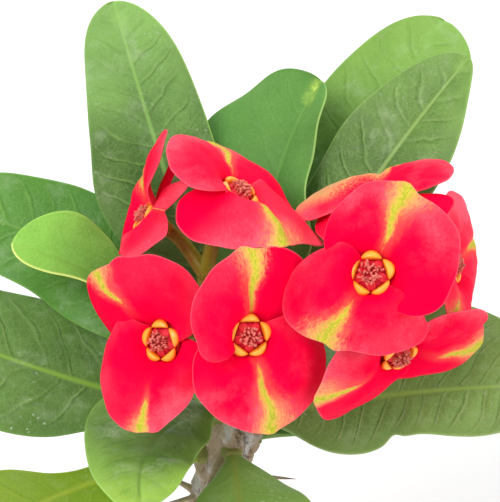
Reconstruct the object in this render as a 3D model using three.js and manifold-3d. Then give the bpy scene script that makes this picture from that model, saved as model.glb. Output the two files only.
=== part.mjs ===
// A crown of thorns (a large-flowered Euphorbia) in a clay pot. One spiny woody stem stands in a plain hole
// in the soil. Long blunt leaves spiral round its top, and two forked stalks carry eight blooms above them.
// Each bloom is a pair of broad red bracts round a small cup, with five nectar glands and a tuft of stamens.
// Millimetres, +Z up, +Y away from the front. The origin is the centre of the pot's underside.
import * as THREE from 'three';
import { mergeVertices } from 'three/addons/utils/BufferGeometryUtils.js';
import Module from 'manifold-3d';

const wasm = await Module();
wasm.setup();

const DEG = Math.PI / 180;
const GAP = 0.3; // between pieces that rest on each other

// ---------------------------------------------------------------- driving dimensions

const POT = {
  height: 104, rimRadius: 62, rimHeight: 23, rimStep: 4, footRadius: 42,
  wall: 5, floor: 6, lip: 2, drains: 4, drainRadius: 4, drainCircle: 20, sides: 32,
};
const SOIL = { top: 92, bottom: 7, lump: 1.6, rings: 5, sides: 30, holeFloor: 46 };
const STEM = { sides: 12, rib: 0.55, ribs: 5, ribTwist: 0.055, rings: 20 };
const SPINE = { count: 22, length: 15, radius: 1.2, first: 100, last: 190, spread: 24, sides: 3 };
const BOSS = { leaf: 2.7, stalk: 2.9, depth: 6, stand: 2 };
const LEAF = { petioleWidth: 3.6, petioleThickness: 2.6, blade: 0.8, rows: 8, columns: 4 };
const BRACT = { thickness: 0.7, inner: 2.5, reach: 112, rootReach: 86, rows: 4, columns: 9, pinwheel: 1.9,
  bowl: 5.9, dome: 3.2, curl: 2.2, crease: 0.9 };
const CUP = { depth: 8.2, neck: 2.0, rim: 4.5, top: -1.2 };
const GLAND = { count: 5, circle: 3.9, halfWidth: 2.3, depth: 1.8, height: 1.9, ring: 3.05 };
const TUFT = { radius: 2.6, height: 2.2, stamens: 5, stamenRadius: 0.5, stamenReach: 3.7 };
const STALK = { trunk: 2.4, branch: 2.1, pedicel: 1.75, sides: 5 };

// The stem's centre line from below the soil to its growing tip, and its radius there.
const STEM_LINE = [
  { at: [-9, 3, 47], radius: 8.6 },
  { at: [-9, 3, 70], radius: 9.2 },
  { at: [-9, 3, 92], radius: 9.4 },
  { at: [-8, 2, 125], radius: 8.9 },
  { at: [-5, 1, 160], radius: 8.3 },
  { at: [-1, 0, 190], radius: 7.8 },
  { at: [3, 0, 212], radius: 7.4 },
  { at: [6, 1, 230], radius: 6.4 },
  { at: [7, 2, 242], radius: 4.2 },
];

// Leaves, from the top of the stem down. height is where the petiole leaves the stem. azimuth is counted
// from +X towards +Y, and pitch from the horizon, each at the base and at the tip. roll turns the blade
// about its own length. widest is the share of the length where the blade is broadest. fold lifts both
// halves from the rib, curl turns the margins down, and ripple waves them.
const LEAVES = [
  { name: 'leaf_01', height: 234, azimuth: [83, 71], pitch: [48, 66], length: 70, width: 42,
    roll: 0, widest: 0.66, fold: 0.2, curl: 0.14, ripple: 0.03 },
  { name: 'leaf_02', height: 231, azimuth: [158, 180], pitch: [40, 16], length: 64, width: 19,
    roll: -34, widest: 0.76, fold: 0.3, curl: 0.1, ripple: 0.02 },
  { name: 'leaf_03', height: 227, azimuth: [119, 114], pitch: [43, 52], length: 101, width: 33,
    roll: 6, widest: 0.62, fold: 0.12, curl: 0.18, ripple: 0.02 },
  { name: 'leaf_04', height: 223, azimuth: [49, 36], pitch: [44, 40], length: 101, width: 30,
    roll: 8, widest: 0.6, fold: 0.22, curl: 0.12, ripple: 0.02 },
  { name: 'leaf_05', height: 222, azimuth: [142, 168], pitch: [39, 0], length: 92, width: 34,
    roll: -26, widest: 0.6, fold: 0.16, curl: 0.16, ripple: 0.03 },
  { name: 'leaf_06', height: 219, azimuth: [61, 48], pitch: [35, 37], length: 117, width: 45,
    roll: 2, widest: 0.64, fold: 0.1, curl: 0.14, ripple: 0.02 },
  { name: 'leaf_07', height: 219, azimuth: [218, 270], pitch: [30, -22], length: 56, width: 32,
    roll: 0, widest: 0.56, fold: 0.14, curl: 0.16, ripple: 0.02 },
  { name: 'leaf_08', height: 215, azimuth: [184, 178], pitch: [22, 6], length: 78, width: 43,
    roll: -22, widest: 0.6, fold: 0.12, curl: 0.16, ripple: 0.02 },
  { name: 'leaf_09', height: 214, azimuth: [0, 3], pitch: [18, 6], length: 84, width: 35,
    roll: 20, widest: 0.58, fold: 0.14, curl: 0.16, ripple: 0.05 },
  { name: 'leaf_10', height: 207, azimuth: [276, 274], pitch: [16, -32], length: 62, width: 40,
    roll: 0, widest: 0.58, fold: 0.14, curl: 0.14, ripple: 0.03 },
  { name: 'leaf_11', height: 203, azimuth: [200, 184], pitch: [8, -18], length: 82, width: 32,
    roll: -24, widest: 0.6, fold: 0.24, curl: 0.12, ripple: 0.03 },
  { name: 'leaf_12', height: 212, azimuth: [84, 88], pitch: [16, -14], length: 76, width: 30,
    roll: 0, widest: 0.6, fold: 0.12, curl: 0.16, ripple: 0.02 },
  { name: 'leaf_13', height: 208, azimuth: [130, 136], pitch: [8, -18], length: 78, width: 30,
    roll: 0, widest: 0.6, fold: 0.12, curl: 0.16, ripple: 0.02 },
  { name: 'leaf_14', height: 204, azimuth: [24, 26], pitch: [8, -20], length: 76, width: 30,
    roll: 0, widest: 0.6, fold: 0.12, curl: 0.16, ripple: 0.02 },
];

// Blooms. centre is the middle of the gland ring, and facing the azimuth and elevation that it looks along.
// The flower head leans towards the front, and HEAD_UP is the way up its slope. A bract's turn is counted
// clockwise from there, as seen from in front of the bloom. skew moves its point off the middle of the
// margin, lift raises its far end, and fold its two halves. twist says which way round the lobes of the two
// bracts overlap.
const HEAD_UP = towards(90, 48);
const BLOOMS = [
  { name: 'bloom_1', centre: [5, 9.5, 291], facing: [14, 59], twist: 1, size: 1, bracts: [
    { turn: 8, length: 23, halfWidth: 19.5, lift: 6, fold: 0.12, skew: -16 },
    { turn: 177, length: 24.5, halfWidth: 19, lift: 27, fold: -0.12, skew: -12 },
  ] },
  { name: 'bloom_2', centre: [-19.5, 13, 280], facing: [168, 32], twist: 1, size: 0.92, bracts: [
    { turn: -58, length: 20, halfWidth: 17, lift: 8, fold: 0.1, skew: 8 },
    { turn: 128, length: 18, halfWidth: 15, lift: 16, fold: 0.3, skew: 0 },
  ] },
  { name: 'bloom_3', centre: [-14.5, -20, 267], facing: [234, 32], twist: 1, size: 1, bracts: [
    { turn: -38, length: 24, halfWidth: 15.8, lift: 24, fold: -0.2, skew: -6 },
    { turn: 198, length: 22.5, halfWidth: 15, lift: 24, fold: 0.12, skew: 14 },
  ] },
  { name: 'bloom_4', centre: [7.5, -25, 274], facing: [286, 36], twist: -1, size: 1, bracts: [
    { turn: -6, length: 24.5, halfWidth: 17, lift: 6, fold: 0.18, skew: -8 },
    { turn: 162, length: 25.5, halfWidth: 17.6, lift: 6, fold: 0.2, skew: 0 },
  ] },
  { name: 'bloom_5', centre: [37, -20.5, 290.5], facing: [258, 50], twist: 1, size: 1.03, bracts: [
    { turn: 36, length: 23.5, halfWidth: 17.5, lift: 14, fold: 0.2, skew: 16 },
    { turn: 218, length: 22.5, halfWidth: 17.8, lift: 24, fold: -0.15, skew: 14 },
  ] },
  { name: 'bloom_6', centre: [40, 10, 286.5], facing: [120, 72], twist: 1, size: 0.98, bracts: [
    { turn: -14, length: 22.5, halfWidth: 19, lift: 18, fold: 0.1, skew: -12 },
    { turn: 185, length: 18.5, halfWidth: 15, lift: 0, fold: 0.05, skew: 0 },
  ] },
  { name: 'bloom_7', centre: [60.5, 3.5, 271.5], facing: [347, 18], twist: 1, size: 0.95, bracts: [
    { turn: 70, length: 24, halfWidth: 17, lift: 14, fold: 0.05, skew: 0 },
    { turn: 240, length: 22, halfWidth: 16.5, lift: 10, fold: 0.05, skew: 0 },
  ] },
  { name: 'bloom_8', centre: [45.5, -19.5, 261.7], facing: [296, -6], twist: 1, size: 0.95, bracts: [
    { turn: 62, length: 25.5, halfWidth: 15, lift: 20, fold: 0.28, skew: -14 },
    { turn: 238, length: 26, halfWidth: 15.5, lift: 26, fold: 0, skew: -6 },
  ] },
];

// Two forked stalks. Each leaves the stem's tip and forks at its knee into two branches. Each branch forks
// again at its own knee, into the pedicels of two blooms.
const STALKS = [
  { name: 'flower_stalk_left', height: 234, azimuth: 215, pitch: 50, knee: [-3, -4, 254],
    branches: [{ knee: [-4, 4, 268], blooms: [0, 1] }, { knee: [-3, -9, 262], blooms: [2, 3] }] },
  { name: 'flower_stalk_right', height: 238, azimuth: 340, pitch: 50, knee: [24, -2, 256],
    branches: [{ knee: [33, 0, 270], blooms: [4, 5] }, { knee: [38, -4, 262], blooms: [6, 7] }] },
];

// ---------------------------------------------------------------- small helpers

function towards(azimuth, elevation) {
  return new THREE.Vector3(Math.cos(azimuth * DEG), Math.sin(azimuth * DEG), 0)
    .multiplyScalar(Math.cos(elevation * DEG))
    .setZ(Math.sin(elevation * DEG));
}

function vec(point) {
  return new THREE.Vector3(...point);
}

function mix(a, b, share) {
  return a + (b - a) * share;
}

function ease(low, high, x) {
  return THREE.MathUtils.smoothstep(x, low, high);
}

// A repeatable random draw between 0 and 1.
function seededDraw(seed) {
  let state = seed;
  return () => {
    state = (state * 1664525 + 1013904223) % 4294967296;
    return state / 4294967296;
  };
}

// ---------------------------------------------------------------- solids

function solidOf(geometry) {
  const bare = geometry.index ? geometry.toNonIndexed() : geometry.clone();
  bare.deleteAttribute('normal');
  bare.deleteAttribute('uv');
  const merged = mergeVertices(bare, 1e-4);
  return new wasm.Manifold(new wasm.Mesh({
    numProp: 3,
    vertProperties: new Float32Array(merged.attributes.position.array),
    triVerts: new Uint32Array(merged.index.array),
  }));
}

function geometryOf(solid) {
  const mesh = solid.getMesh();
  const geometry = new THREE.BufferGeometry();
  geometry.setAttribute('position', new THREE.BufferAttribute(new Float32Array(mesh.vertProperties), 3));
  geometry.setIndex(new THREE.BufferAttribute(new Uint32Array(mesh.triVerts), 1));
  return geometry;
}

function fuse(geometries) {
  return geometries.map(solidOf).reduce((whole, next) => whole.add(next));
}

// A closed geometry from rings of points that all have the same count, capped with a fan at both ends.
function loft(rings) {
  const positions = [];
  const triangle = (a, b, c) => positions.push(...a.toArray(), ...b.toArray(), ...c.toArray());
  const centre = (ring) => ring.reduce((sum, p) => sum.add(p), new THREE.Vector3()).divideScalar(ring.length);
  const count = rings[0].length;
  const first = centre(rings[0]);
  const last = centre(rings.at(-1));
  for (let j = 0; j < count; j++) {
    const k = (j + 1) % count;
    triangle(first, rings[0][k], rings[0][j]);
    triangle(last, rings.at(-1)[j], rings.at(-1)[k]);
    for (let i = 0; i + 1 < rings.length; i++) {
      triangle(rings[i][j], rings[i][k], rings[i + 1][k]);
      triangle(rings[i][j], rings[i + 1][k], rings[i + 1][j]);
    }
  }
  return new THREE.BufferGeometry().setAttribute('position', new THREE.Float32BufferAttribute(positions, 3));
}

// A ring of points round centre, at right angles to along. reach(angle) is its radius.
function ringAcross(centre, along, sides, reach) {
  const start = Math.abs(along.z) < 0.9 ? new THREE.Vector3(0, 0, 1) : new THREE.Vector3(1, 0, 0);
  const right = start.clone().cross(along).normalize();
  const up = along.clone().cross(right);
  return Array.from({ length: sides }, (_, j) => {
    const angle = (j / sides) * 2 * Math.PI;
    return centre.clone()
      .addScaledVector(right, Math.cos(angle) * reach(angle))
      .addScaledVector(up, Math.sin(angle) * reach(angle));
  });
}

// A closed thin sheet over surface(u, v), u and v from 0 to 1. Both faces are split into triangles alike.
function sheet(surface, rows, columns, thicknessAt) {
  const step = 1e-3;
  const pointOn = (side, u, v) => {
    const alongU = surface(Math.min(u + step, 1), v).sub(surface(Math.max(u - step, 0), v));
    const alongV = surface(u, Math.min(v + step, 1)).sub(surface(u, Math.max(v - step, 0)));
    return surface(u, v).addScaledVector(alongU.cross(alongV).normalize(), side * thicknessAt(u, v) / 2);
  };
  const face = (side) => Array.from({ length: rows + 1 }, (_, i) => (
    Array.from({ length: columns + 1 }, (_, j) => pointOn(side, i / rows, j / columns))
  ));
  const top = face(1);
  const bottom = face(-1);
  const positions = [];
  const quad = (a, b, c, d) => {
    for (const p of [a, b, c, a, c, d]) positions.push(...p.toArray());
  };
  for (let i = 0; i < rows; i++) {
    for (let j = 0; j < columns; j++) {
      quad(top[i][j], top[i + 1][j], top[i + 1][j + 1], top[i][j + 1]);
      const [a, b, c, d] = [bottom[i][j], bottom[i + 1][j], bottom[i + 1][j + 1], bottom[i][j + 1]];
      for (const p of [a, c, b, a, d, c]) positions.push(...p.toArray());
    }
    quad(bottom[i][0], bottom[i + 1][0], top[i + 1][0], top[i][0]);
    quad(top[i][columns], top[i + 1][columns], bottom[i + 1][columns], bottom[i][columns]);
  }
  for (let j = 0; j < columns; j++) {
    quad(top[0][j], top[0][j + 1], bottom[0][j + 1], bottom[0][j]);
    quad(bottom[rows][j], bottom[rows][j + 1], top[rows][j + 1], top[rows][j]);
  }
  return new THREE.BufferGeometry().setAttribute('position', new THREE.Float32BufferAttribute(positions, 3));
}

// A closed round tube along a curve, from one radius to another.
function taperedTube(curve, startRadius, endRadius, steps, sides) {
  const rings = [];
  for (let i = 0; i <= steps; i++) {
    const share = i / steps;
    const radius = mix(startRadius, endRadius, share);
    rings.push(ringAcross(curve.getPoint(share), curve.getTangent(share), sides, () => radius));
  }
  return loft(rings);
}

function lathe(profile, sides) {
  const geometry = new THREE.LatheGeometry(profile.map(([r, z]) => new THREE.Vector2(r, z)), sides);
  return geometry.rotateX(Math.PI / 2);
}

// ---------------------------------------------------------------- pot and soil

const innerFoot = POT.footRadius - POT.wall;
const innerRim = POT.rimRadius - POT.wall;
const bodyTop = POT.height - POT.rimHeight;
const bodyRadius = POT.rimRadius - POT.rimStep;

function innerRadiusAt(z) {
  return mix(innerFoot, innerRim, (z - POT.floor) / (POT.height - POT.floor));
}

function potGeometry() {
  let pot = solidOf(lathe([
    [0, 0], [POT.footRadius - POT.lip, 0], [POT.footRadius, POT.lip], [bodyRadius, bodyTop],
    [POT.rimRadius, bodyTop], [POT.rimRadius, POT.height - POT.lip], [POT.rimRadius - POT.lip, POT.height],
    [innerRim, POT.height], [innerFoot, POT.floor], [0, POT.floor],
  ], POT.sides));
  for (let i = 0; i < POT.drains; i++) {
    const angle = (i / POT.drains) * 2 * Math.PI;
    const drain = new THREE.CylinderGeometry(POT.drainRadius, POT.drainRadius, 3 * POT.floor, 10);
    drain.rotateX(Math.PI / 2);
    drain.translate(POT.drainCircle * Math.cos(angle), POT.drainCircle * Math.sin(angle), 0);
    pot = pot.subtract(solidOf(drain));
  }
  return geometryOf(pot);
}

// The soil fills the pot to its top level, with a lumpy surface and a plain hole for the stem.
function soilGeometry() {
  const { x, y } = stemAt(SOIL.top).centre;
  const holeRadius = STEM_LINE[2].radius + STEM.rib + GAP;
  const hole = new THREE.CylinderGeometry(holeRadius, holeRadius, 2 * SOIL.top, 24).rotateX(Math.PI / 2);
  hole.translate(x, y, SOIL.holeFloor + SOIL.top);
  const outer = (z) => innerRadiusAt(z) - GAP;
  const levels = [[1, SOIL.bottom], [1, SOIL.top - SOIL.lump]];
  for (let i = SOIL.rings - 1; i > 0; i--) levels.push([i / SOIL.rings, SOIL.top]);
  const rings = levels.map(([share, level], i) => Array.from({ length: SOIL.sides }, (_, j) => {
    const angle = (j / SOIL.sides) * 2 * Math.PI;
    const wave = Math.sin(5 * angle + 9 * share) + Math.sin(11 * angle - 17 * share);
    const lump = i < 2 ? 0 : SOIL.lump * 0.5 * wave;
    const radius = share * outer(level);
    return new THREE.Vector3(radius * Math.cos(angle), radius * Math.sin(angle), level + lump);
  }));
  return geometryOf(solidOf(loft(rings)).subtract(solidOf(hole)));
}

// ---------------------------------------------------------------- stem

const stemCurve = new THREE.CatmullRomCurve3(STEM_LINE.map((p) => vec(p.at)), false, 'centripetal');

// The stem's centre, direction and radius at a height.
function stemAt(height) {
  let low = 0;
  let high = 1;
  for (let i = 0; i < 30; i++) {
    const middle = (low + high) / 2;
    if (stemCurve.getPoint(middle).z < height) low = middle;
    else high = middle;
  }
  const place = low * (STEM_LINE.length - 1);
  const before = Math.min(Math.floor(place), STEM_LINE.length - 2);
  return {
    centre: stemCurve.getPoint(low),
    along: stemCurve.getTangent(low),
    radius: mix(STEM_LINE[before].radius, STEM_LINE[before + 1].radius, place - before),
  };
}

function stemBody() {
  const bottom = STEM_LINE[0].at[2] + GAP;
  const top = STEM_LINE.at(-1).at[2];
  const rings = [];
  for (let i = 0; i <= STEM.rings; i++) {
    const height = mix(bottom, top, i / STEM.rings);
    const { centre, along, radius } = stemAt(height);
    const rib = height < SOIL.top + 4 ? 0 : STEM.rib;
    rings.push(ringAcross(centre, along, STEM.sides, (angle) => radius
      + rib * Math.cos(STEM.ribs * (angle + height * STEM.ribTwist))
      + rib * Math.sin(height * 0.9 + angle * 2)));
  }
  return loft(rings);
}

// Where a petiole or a stalk starts, just outside the stem.
function rootOutside(height, azimuth, pitch) {
  const { centre, radius } = stemAt(height);
  return centre.clone().addScaledVector(towards(azimuth, pitch), radius / Math.cos(pitch * DEG) + BOSS.stand);
}

// The short boss that a petiole or a stalk stands on. Its flat end lies a gap short of it.
function boss(height, azimuth, pitch, radius) {
  const root = rootOutside(height, azimuth, pitch);
  const direction = towards(azimuth, pitch);
  const inside = root.clone().addScaledVector(direction, -BOSS.depth);
  const face = root.clone().addScaledVector(direction, -GAP);
  return taperedTube(new THREE.LineCurve3(inside, face), radius * 1.35, radius, 1, 6);
}

function spine(height, azimuth, rise, length) {
  const { centre, radius } = stemAt(height);
  const direction = towards(azimuth, rise);
  const root = centre.clone().addScaledVector(direction, radius - 2.5);
  const tip = centre.clone().addScaledVector(direction, radius + length);
  return taperedTube(new THREE.LineCurve3(root, tip), SPINE.radius, 0.18, 1, SPINE.sides);
}

// Pairs of spines climb the stem in the same spiral as the leaf scars that they flank.
function spines() {
  const draw = seededDraw(7);
  const pairs = SPINE.count / 2;
  const made = [];
  for (let i = 0; i < pairs; i++) {
    const height = mix(SPINE.first, SPINE.last, i / (pairs - 1));
    const scar = i * 137.5 + 20;
    for (const side of [-1, 1]) {
      const azimuth = scar + side * SPINE.spread + 10 * (draw() - 0.5);
      made.push(spine(height + 2 * side, azimuth, 4 + 20 * draw(), SPINE.length * (0.75 + 0.4 * draw())));
    }
  }
  return made;
}

function stemGeometry() {
  const leafBosses = LEAVES.map((leaf) => boss(leaf.height, leaf.azimuth[0], leaf.pitch[0], BOSS.leaf));
  const stalkBosses = STALKS.map(({ height, azimuth, pitch }) => boss(height, azimuth, pitch, BOSS.stalk));
  return geometryOf(fuse([stemBody(), ...leafBosses, ...stalkBosses, ...spines()]));
}

// ---------------------------------------------------------------- leaves

// The blade's half width as a share of its broadest: a narrow petiole, a long wedge and a blunt round tip.
function bladeShare(s, widest) {
  if (s > widest) return Math.sqrt(Math.max(1 - ((s - widest) / (1.004 - widest)) ** 2.3, 0));
  return Math.sin((Math.PI / 2) * ease(-0.25, 1, s / widest) ** 1.1);
}

// A point on the blade's middle surface: s runs from base to tip, and across from -1 to 1.
function leafSurface(leaf) {
  const steps = 32;
  const line = [rootOutside(leaf.height, leaf.azimuth[0], leaf.pitch[0])];
  for (let i = 0; i < steps; i++) {
    const middle = (i + 0.5) / steps;
    const heading = towards(mix(...leaf.azimuth, middle), mix(...leaf.pitch, middle));
    line.push(line[i].clone().addScaledVector(heading, leaf.length / steps));
  }
  return (s, across) => {
    const place = Math.min(Math.floor(s * steps), steps - 1);
    const rib = line[place].clone().lerp(line[place + 1], s * steps - place);
    const along = towards(mix(...leaf.azimuth, s), mix(...leaf.pitch, s));
    const level = towards(mix(...leaf.azimuth, s) + 90, 0);
    const upward = along.clone().cross(level);
    const roll = leaf.roll * DEG * ease(0, 0.35, s);
    const side = level.clone().multiplyScalar(Math.cos(roll)).addScaledVector(upward, Math.sin(roll));
    const normal = upward.multiplyScalar(Math.cos(roll)).addScaledVector(level, -Math.sin(roll));
    const least = LEAF.petioleWidth / 2 * (s < 0.5 ? 1 : 0.25);
    const half = Math.max(leaf.width / 2 * bladeShare(s, leaf.widest), least);
    const open = ease(0.02, 0.3, s);
    const rise = half * open * (leaf.fold * Math.abs(across) - leaf.curl * across * across);
    const wave = leaf.width * leaf.ripple * open * across ** 2 * Math.sin(19 * s + (across > 0 ? 1 : 3.4));
    return rib.addScaledVector(side, half * across).addScaledVector(normal, rise + wave);
  };
}

function leafGeometry(leaf) {
  const surface = leafSurface(leaf);
  const alongShare = (u) => 1 - (1 - u) ** 1.5;
  const thickness = (u, v) => {
    const s = alongShare(u);
    const rib = mix(LEAF.petioleThickness, LEAF.blade * 1.5, ease(0, 0.5, s));
    const edge = mix(LEAF.petioleThickness * 0.8, LEAF.blade, ease(0, 0.2, s));
    return mix(rib, edge, Math.min(1, Math.abs(2 * v - 1) * 1.6));
  };
  return sheet((u, v) => surface(alongShare(u), 1 - 2 * v), LEAF.rows, LEAF.columns, thickness);
}

// ---------------------------------------------------------------- blooms

function bloomAxes(bloom) {
  const facing = towards(...bloom.facing);
  const up = HEAD_UP.clone().addScaledVector(facing, -HEAD_UP.dot(facing)).normalize();
  return { facing, up, right: up.clone().cross(facing) };
}

// A bract's middle surface. swing runs across it from -1 to 1, and share from its root to its margin.
function bractSurface(bloom, bract) {
  const { facing, up, right } = bloomAxes(bloom);
  const turn = bract.turn * DEG;
  const midline = up.clone().multiplyScalar(Math.cos(turn)).addScaledVector(right, Math.sin(turn));
  const sideways = facing.clone().cross(midline);
  const offset = bract.length - bract.halfWidth;
  return (swing, share) => {
    const theta = swing * DEG * mix(BRACT.rootReach, BRACT.reach, ease(0.25, 0.8, share));
    const round = Math.sqrt(Math.max(1 - Math.abs(swing) ** 9, 0));
    const chord = Math.sqrt(bract.halfWidth ** 2 - (offset * Math.sin(theta)) ** 2);
    const outline = offset * Math.cos(theta) + chord;
    const point = 1.1 * Math.exp(-(((theta / DEG - bract.skew) / 6) ** 2));
    const r = mix(BRACT.inner, Math.max(outline * round + point, BRACT.inner + 2), share);
    const x = r * Math.cos(theta);
    const y = r * Math.sin(theta);
    const ahead = Math.max(x, 0);
    const middle = Math.cos(theta / 2) ** 2;
    const height = BRACT.bowl * (1 - Math.exp(-(((r - BRACT.inner) / 3.6) ** 2))) - BRACT.bowl * 0.76
      - BRACT.dome * (r / 20) ** 2
      + bract.fold * (Math.hypot(y, 3) - 3) * ease(4, 11, r)
      + Math.tan(bract.lift * DEG) * (ahead * ahead / (ahead + 6)) * ease(4, 11, r)
      + bloom.twist * BRACT.pinwheel * swing * ease(2.5, 8, r)
      - BRACT.curl * ease(0.62, 1, share) * middle
      - BRACT.crease * Math.exp(-((y / 1.8) ** 2)) * ease(6, 14, r);
    return vec(bloom.centre)
      .addScaledVector(midline, x * bloom.size)
      .addScaledVector(sideways, y * bloom.size)
      .addScaledVector(facing, height * bloom.size);
  };
}

function bractGeometry(bloom, bract) {
  const surface = bractSurface(bloom, bract);
  return sheet((u, v) => surface(2 * v - 1, u), BRACT.rows, BRACT.columns, () => BRACT.thickness);
}

// Places a geometry made round +Z on a bloom, with +Z along its facing.
function placeOnBloom(geometry, bloom) {
  const { facing, up, right } = bloomAxes(bloom);
  const matrix = new THREE.Matrix4().makeBasis(right, up, facing);
  return geometry.scale(bloom.size, bloom.size, bloom.size).applyMatrix4(matrix).translate(...bloom.centre);
}

function cupGeometry() {
  return lathe([
    [0, -CUP.depth], [CUP.neck, -CUP.depth], [CUP.neck + 0.5, -CUP.depth + 2.2], [CUP.rim - 0.6, -3.6],
    [CUP.rim, CUP.top], [0, CUP.top],
  ], 8);
}

function bloomBracts(bloom) {
  const cup = placeOnBloom(cupGeometry(), bloom);
  return geometryOf(fuse([cup, ...bloom.bracts.map((bract) => bractGeometry(bloom, bract))]));
}

// Five half-moon glands on one thin ring.
function bloomGlands(bloom) {
  const floor = CUP.top + GAP;
  const pieces = [lathe([
    [GLAND.ring, floor], [GLAND.circle + 0.4, floor], [GLAND.circle, floor + 1.2], [GLAND.ring, floor + 1.2],
    [GLAND.ring, floor],
  ], 8)];
  const layer = (height, grow) => Array.from({ length: 6 }, (_, k) => {
    const angle = (k / 6) * 2 * Math.PI;
    const depth = Math.sin(angle) > 0 ? GLAND.depth : GLAND.depth * 0.45;
    return new THREE.Vector3(GLAND.halfWidth * Math.cos(angle), depth * Math.sin(angle), 0)
      .multiplyScalar(grow).setZ(height);
  });
  for (let i = 0; i < GLAND.count; i++) {
    const gland = loft([layer(0, 0.6), layer(GLAND.height * 0.6, 1), layer(GLAND.height, 0.65)]);
    gland.rotateX(-14 * DEG).translate(0, GLAND.circle - 0.1, floor + 0.4);
    pieces.push(gland.rotateZ((i / GLAND.count) * 2 * Math.PI));
  }
  return geometryOf(fuse(pieces.map((piece) => placeOnBloom(piece, bloom))));
}

// The tuft: a low dome with stamens that stand out of it.
function bloomTuft(bloom) {
  const floor = CUP.top + GAP;
  const pieces = [lathe([
    [0, floor], [TUFT.radius, floor], [TUFT.radius, floor + 1.2],
    [TUFT.radius * 0.7, floor + TUFT.height], [0, floor + TUFT.height + 0.4],
  ], 6)];
  for (let i = 0; i < TUFT.stamens; i++) {
    const out = TUFT.radius * 0.62 * Math.sqrt((i + 0.3) / TUFT.stamens);
    const azimuth = i * 137.5 * DEG;
    const root = new THREE.Vector3(out * Math.cos(azimuth), out * Math.sin(azimuth), floor + 0.8);
    const tip = root.clone().multiplyScalar(1.5).setZ(floor + TUFT.stamenReach + 0.5 * Math.sin(i * 2));
    const line = new THREE.LineCurve3(root, tip);
    pieces.push(taperedTube(line, TUFT.stamenRadius * 0.8, TUFT.stamenRadius, 1, 3));
  }
  return geometryOf(fuse(pieces.map((piece) => placeOnBloom(piece, bloom))));
}

// ---------------------------------------------------------------- flower stalks

function bentCurve(from, leave, to, arrive) {
  const reach = from.distanceTo(to) / 3;
  return new THREE.CubicBezierCurve3(
    from, from.clone().addScaledVector(leave, reach), to.clone().addScaledVector(arrive, -reach), to,
  );
}

function stalkGeometry(stalk) {
  const root = rootOutside(stalk.height, stalk.azimuth, stalk.pitch);
  const knee = vec(stalk.knee);
  const trunk = bentCurve(root, towards(stalk.azimuth, stalk.pitch), knee, new THREE.Vector3(0, 0, 1));
  const pieces = [taperedTube(trunk, STALK.trunk * 1.15, STALK.trunk, 4, STALK.sides)];
  for (const branch of stalk.branches) {
    const fork = vec(branch.knee);
    const heading = fork.clone().sub(knee).normalize();
    const arm = bentCurve(knee, heading, fork, heading);
    pieces.push(taperedTube(arm, STALK.trunk, STALK.branch, 2, STALK.sides));
    for (const index of branch.blooms) {
      const bloom = BLOOMS[index];
      const facing = towards(...bloom.facing);
      const end = vec(bloom.centre).addScaledVector(facing, -(CUP.depth * bloom.size + GAP));
      const start = end.clone().sub(fork).normalize();
      const pedicel = bentCurve(fork, start, end, facing);
      pieces.push(taperedTube(pedicel, STALK.branch, STALK.pedicel, 5, STALK.sides));
    }
  }
  return geometryOf(fuse(pieces));
}

// ---------------------------------------------------------------- assembly

const FINISH = {
  clay: { color: 0xb4663f, roughness: 0.9 },
  soil: { color: 0x3a2a1e, roughness: 1 },
  bark: { color: 0x8d7f6c, roughness: 0.85 },
  leaf: { color: 0x4f8a36, roughness: 0.5 },
  youngLeaf: { color: 0x86bb3e, roughness: 0.5 },
  bract: { color: 0xe8163c, roughness: 0.5 },
  gland: { color: 0xf29a1c, roughness: 0.4 },
  tuft: { color: 0xb0302c, roughness: 0.7 },
  stalk: { color: 0x7d7526, roughness: 0.6 },
};

const plant = new THREE.Group();

function addPiece(name, geometry, finish) {
  const mesh = new THREE.Mesh(geometry, new THREE.MeshStandardMaterial({ ...FINISH[finish], metalness: 0 }));
  mesh.name = name;
  plant.add(mesh);
}

addPiece('pot', potGeometry(), 'clay');
addPiece('soil', soilGeometry(), 'soil');
addPiece('stem', stemGeometry(), 'bark');
for (const leaf of LEAVES) addPiece(leaf.name, leafGeometry(leaf), leaf.width < 25 ? 'youngLeaf' : 'leaf');
for (const stalk of STALKS) addPiece(stalk.name, stalkGeometry(stalk), 'stalk');
for (const bloom of BLOOMS) {
  addPiece(`${bloom.name}_bracts`, bloomBracts(bloom), 'bract');
  addPiece(`${bloom.name}_glands`, bloomGlands(bloom), 'gland');
  addPiece(`${bloom.name}_tuft`, bloomTuft(bloom), 'tuft');
}

export default plant;
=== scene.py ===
"""The looks of a crown of thorns plant in a clay pot.

Sizes are in millimetres until a piece is finished.
"""
import math
import random

import bmesh
import bpy
from mathutils import Matrix, Vector, noise


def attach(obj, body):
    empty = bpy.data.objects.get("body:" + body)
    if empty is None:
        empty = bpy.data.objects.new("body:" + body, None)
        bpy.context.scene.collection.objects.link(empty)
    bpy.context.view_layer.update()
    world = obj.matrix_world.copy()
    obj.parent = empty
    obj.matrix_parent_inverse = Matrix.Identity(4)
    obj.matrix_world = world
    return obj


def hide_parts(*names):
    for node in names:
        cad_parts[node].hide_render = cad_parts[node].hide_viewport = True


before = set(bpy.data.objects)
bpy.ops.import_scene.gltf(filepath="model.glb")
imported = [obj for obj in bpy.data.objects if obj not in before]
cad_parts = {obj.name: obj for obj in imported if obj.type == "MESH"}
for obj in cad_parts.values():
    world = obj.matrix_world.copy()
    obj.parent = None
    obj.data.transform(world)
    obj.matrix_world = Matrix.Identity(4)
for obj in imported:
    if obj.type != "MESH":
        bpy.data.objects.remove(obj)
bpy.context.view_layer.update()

MM = 0.001
DEG = math.pi / 180
FULL_TURN = 2 * math.pi

# ------------------------------------------------------------------ the plant's own sizes

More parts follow.
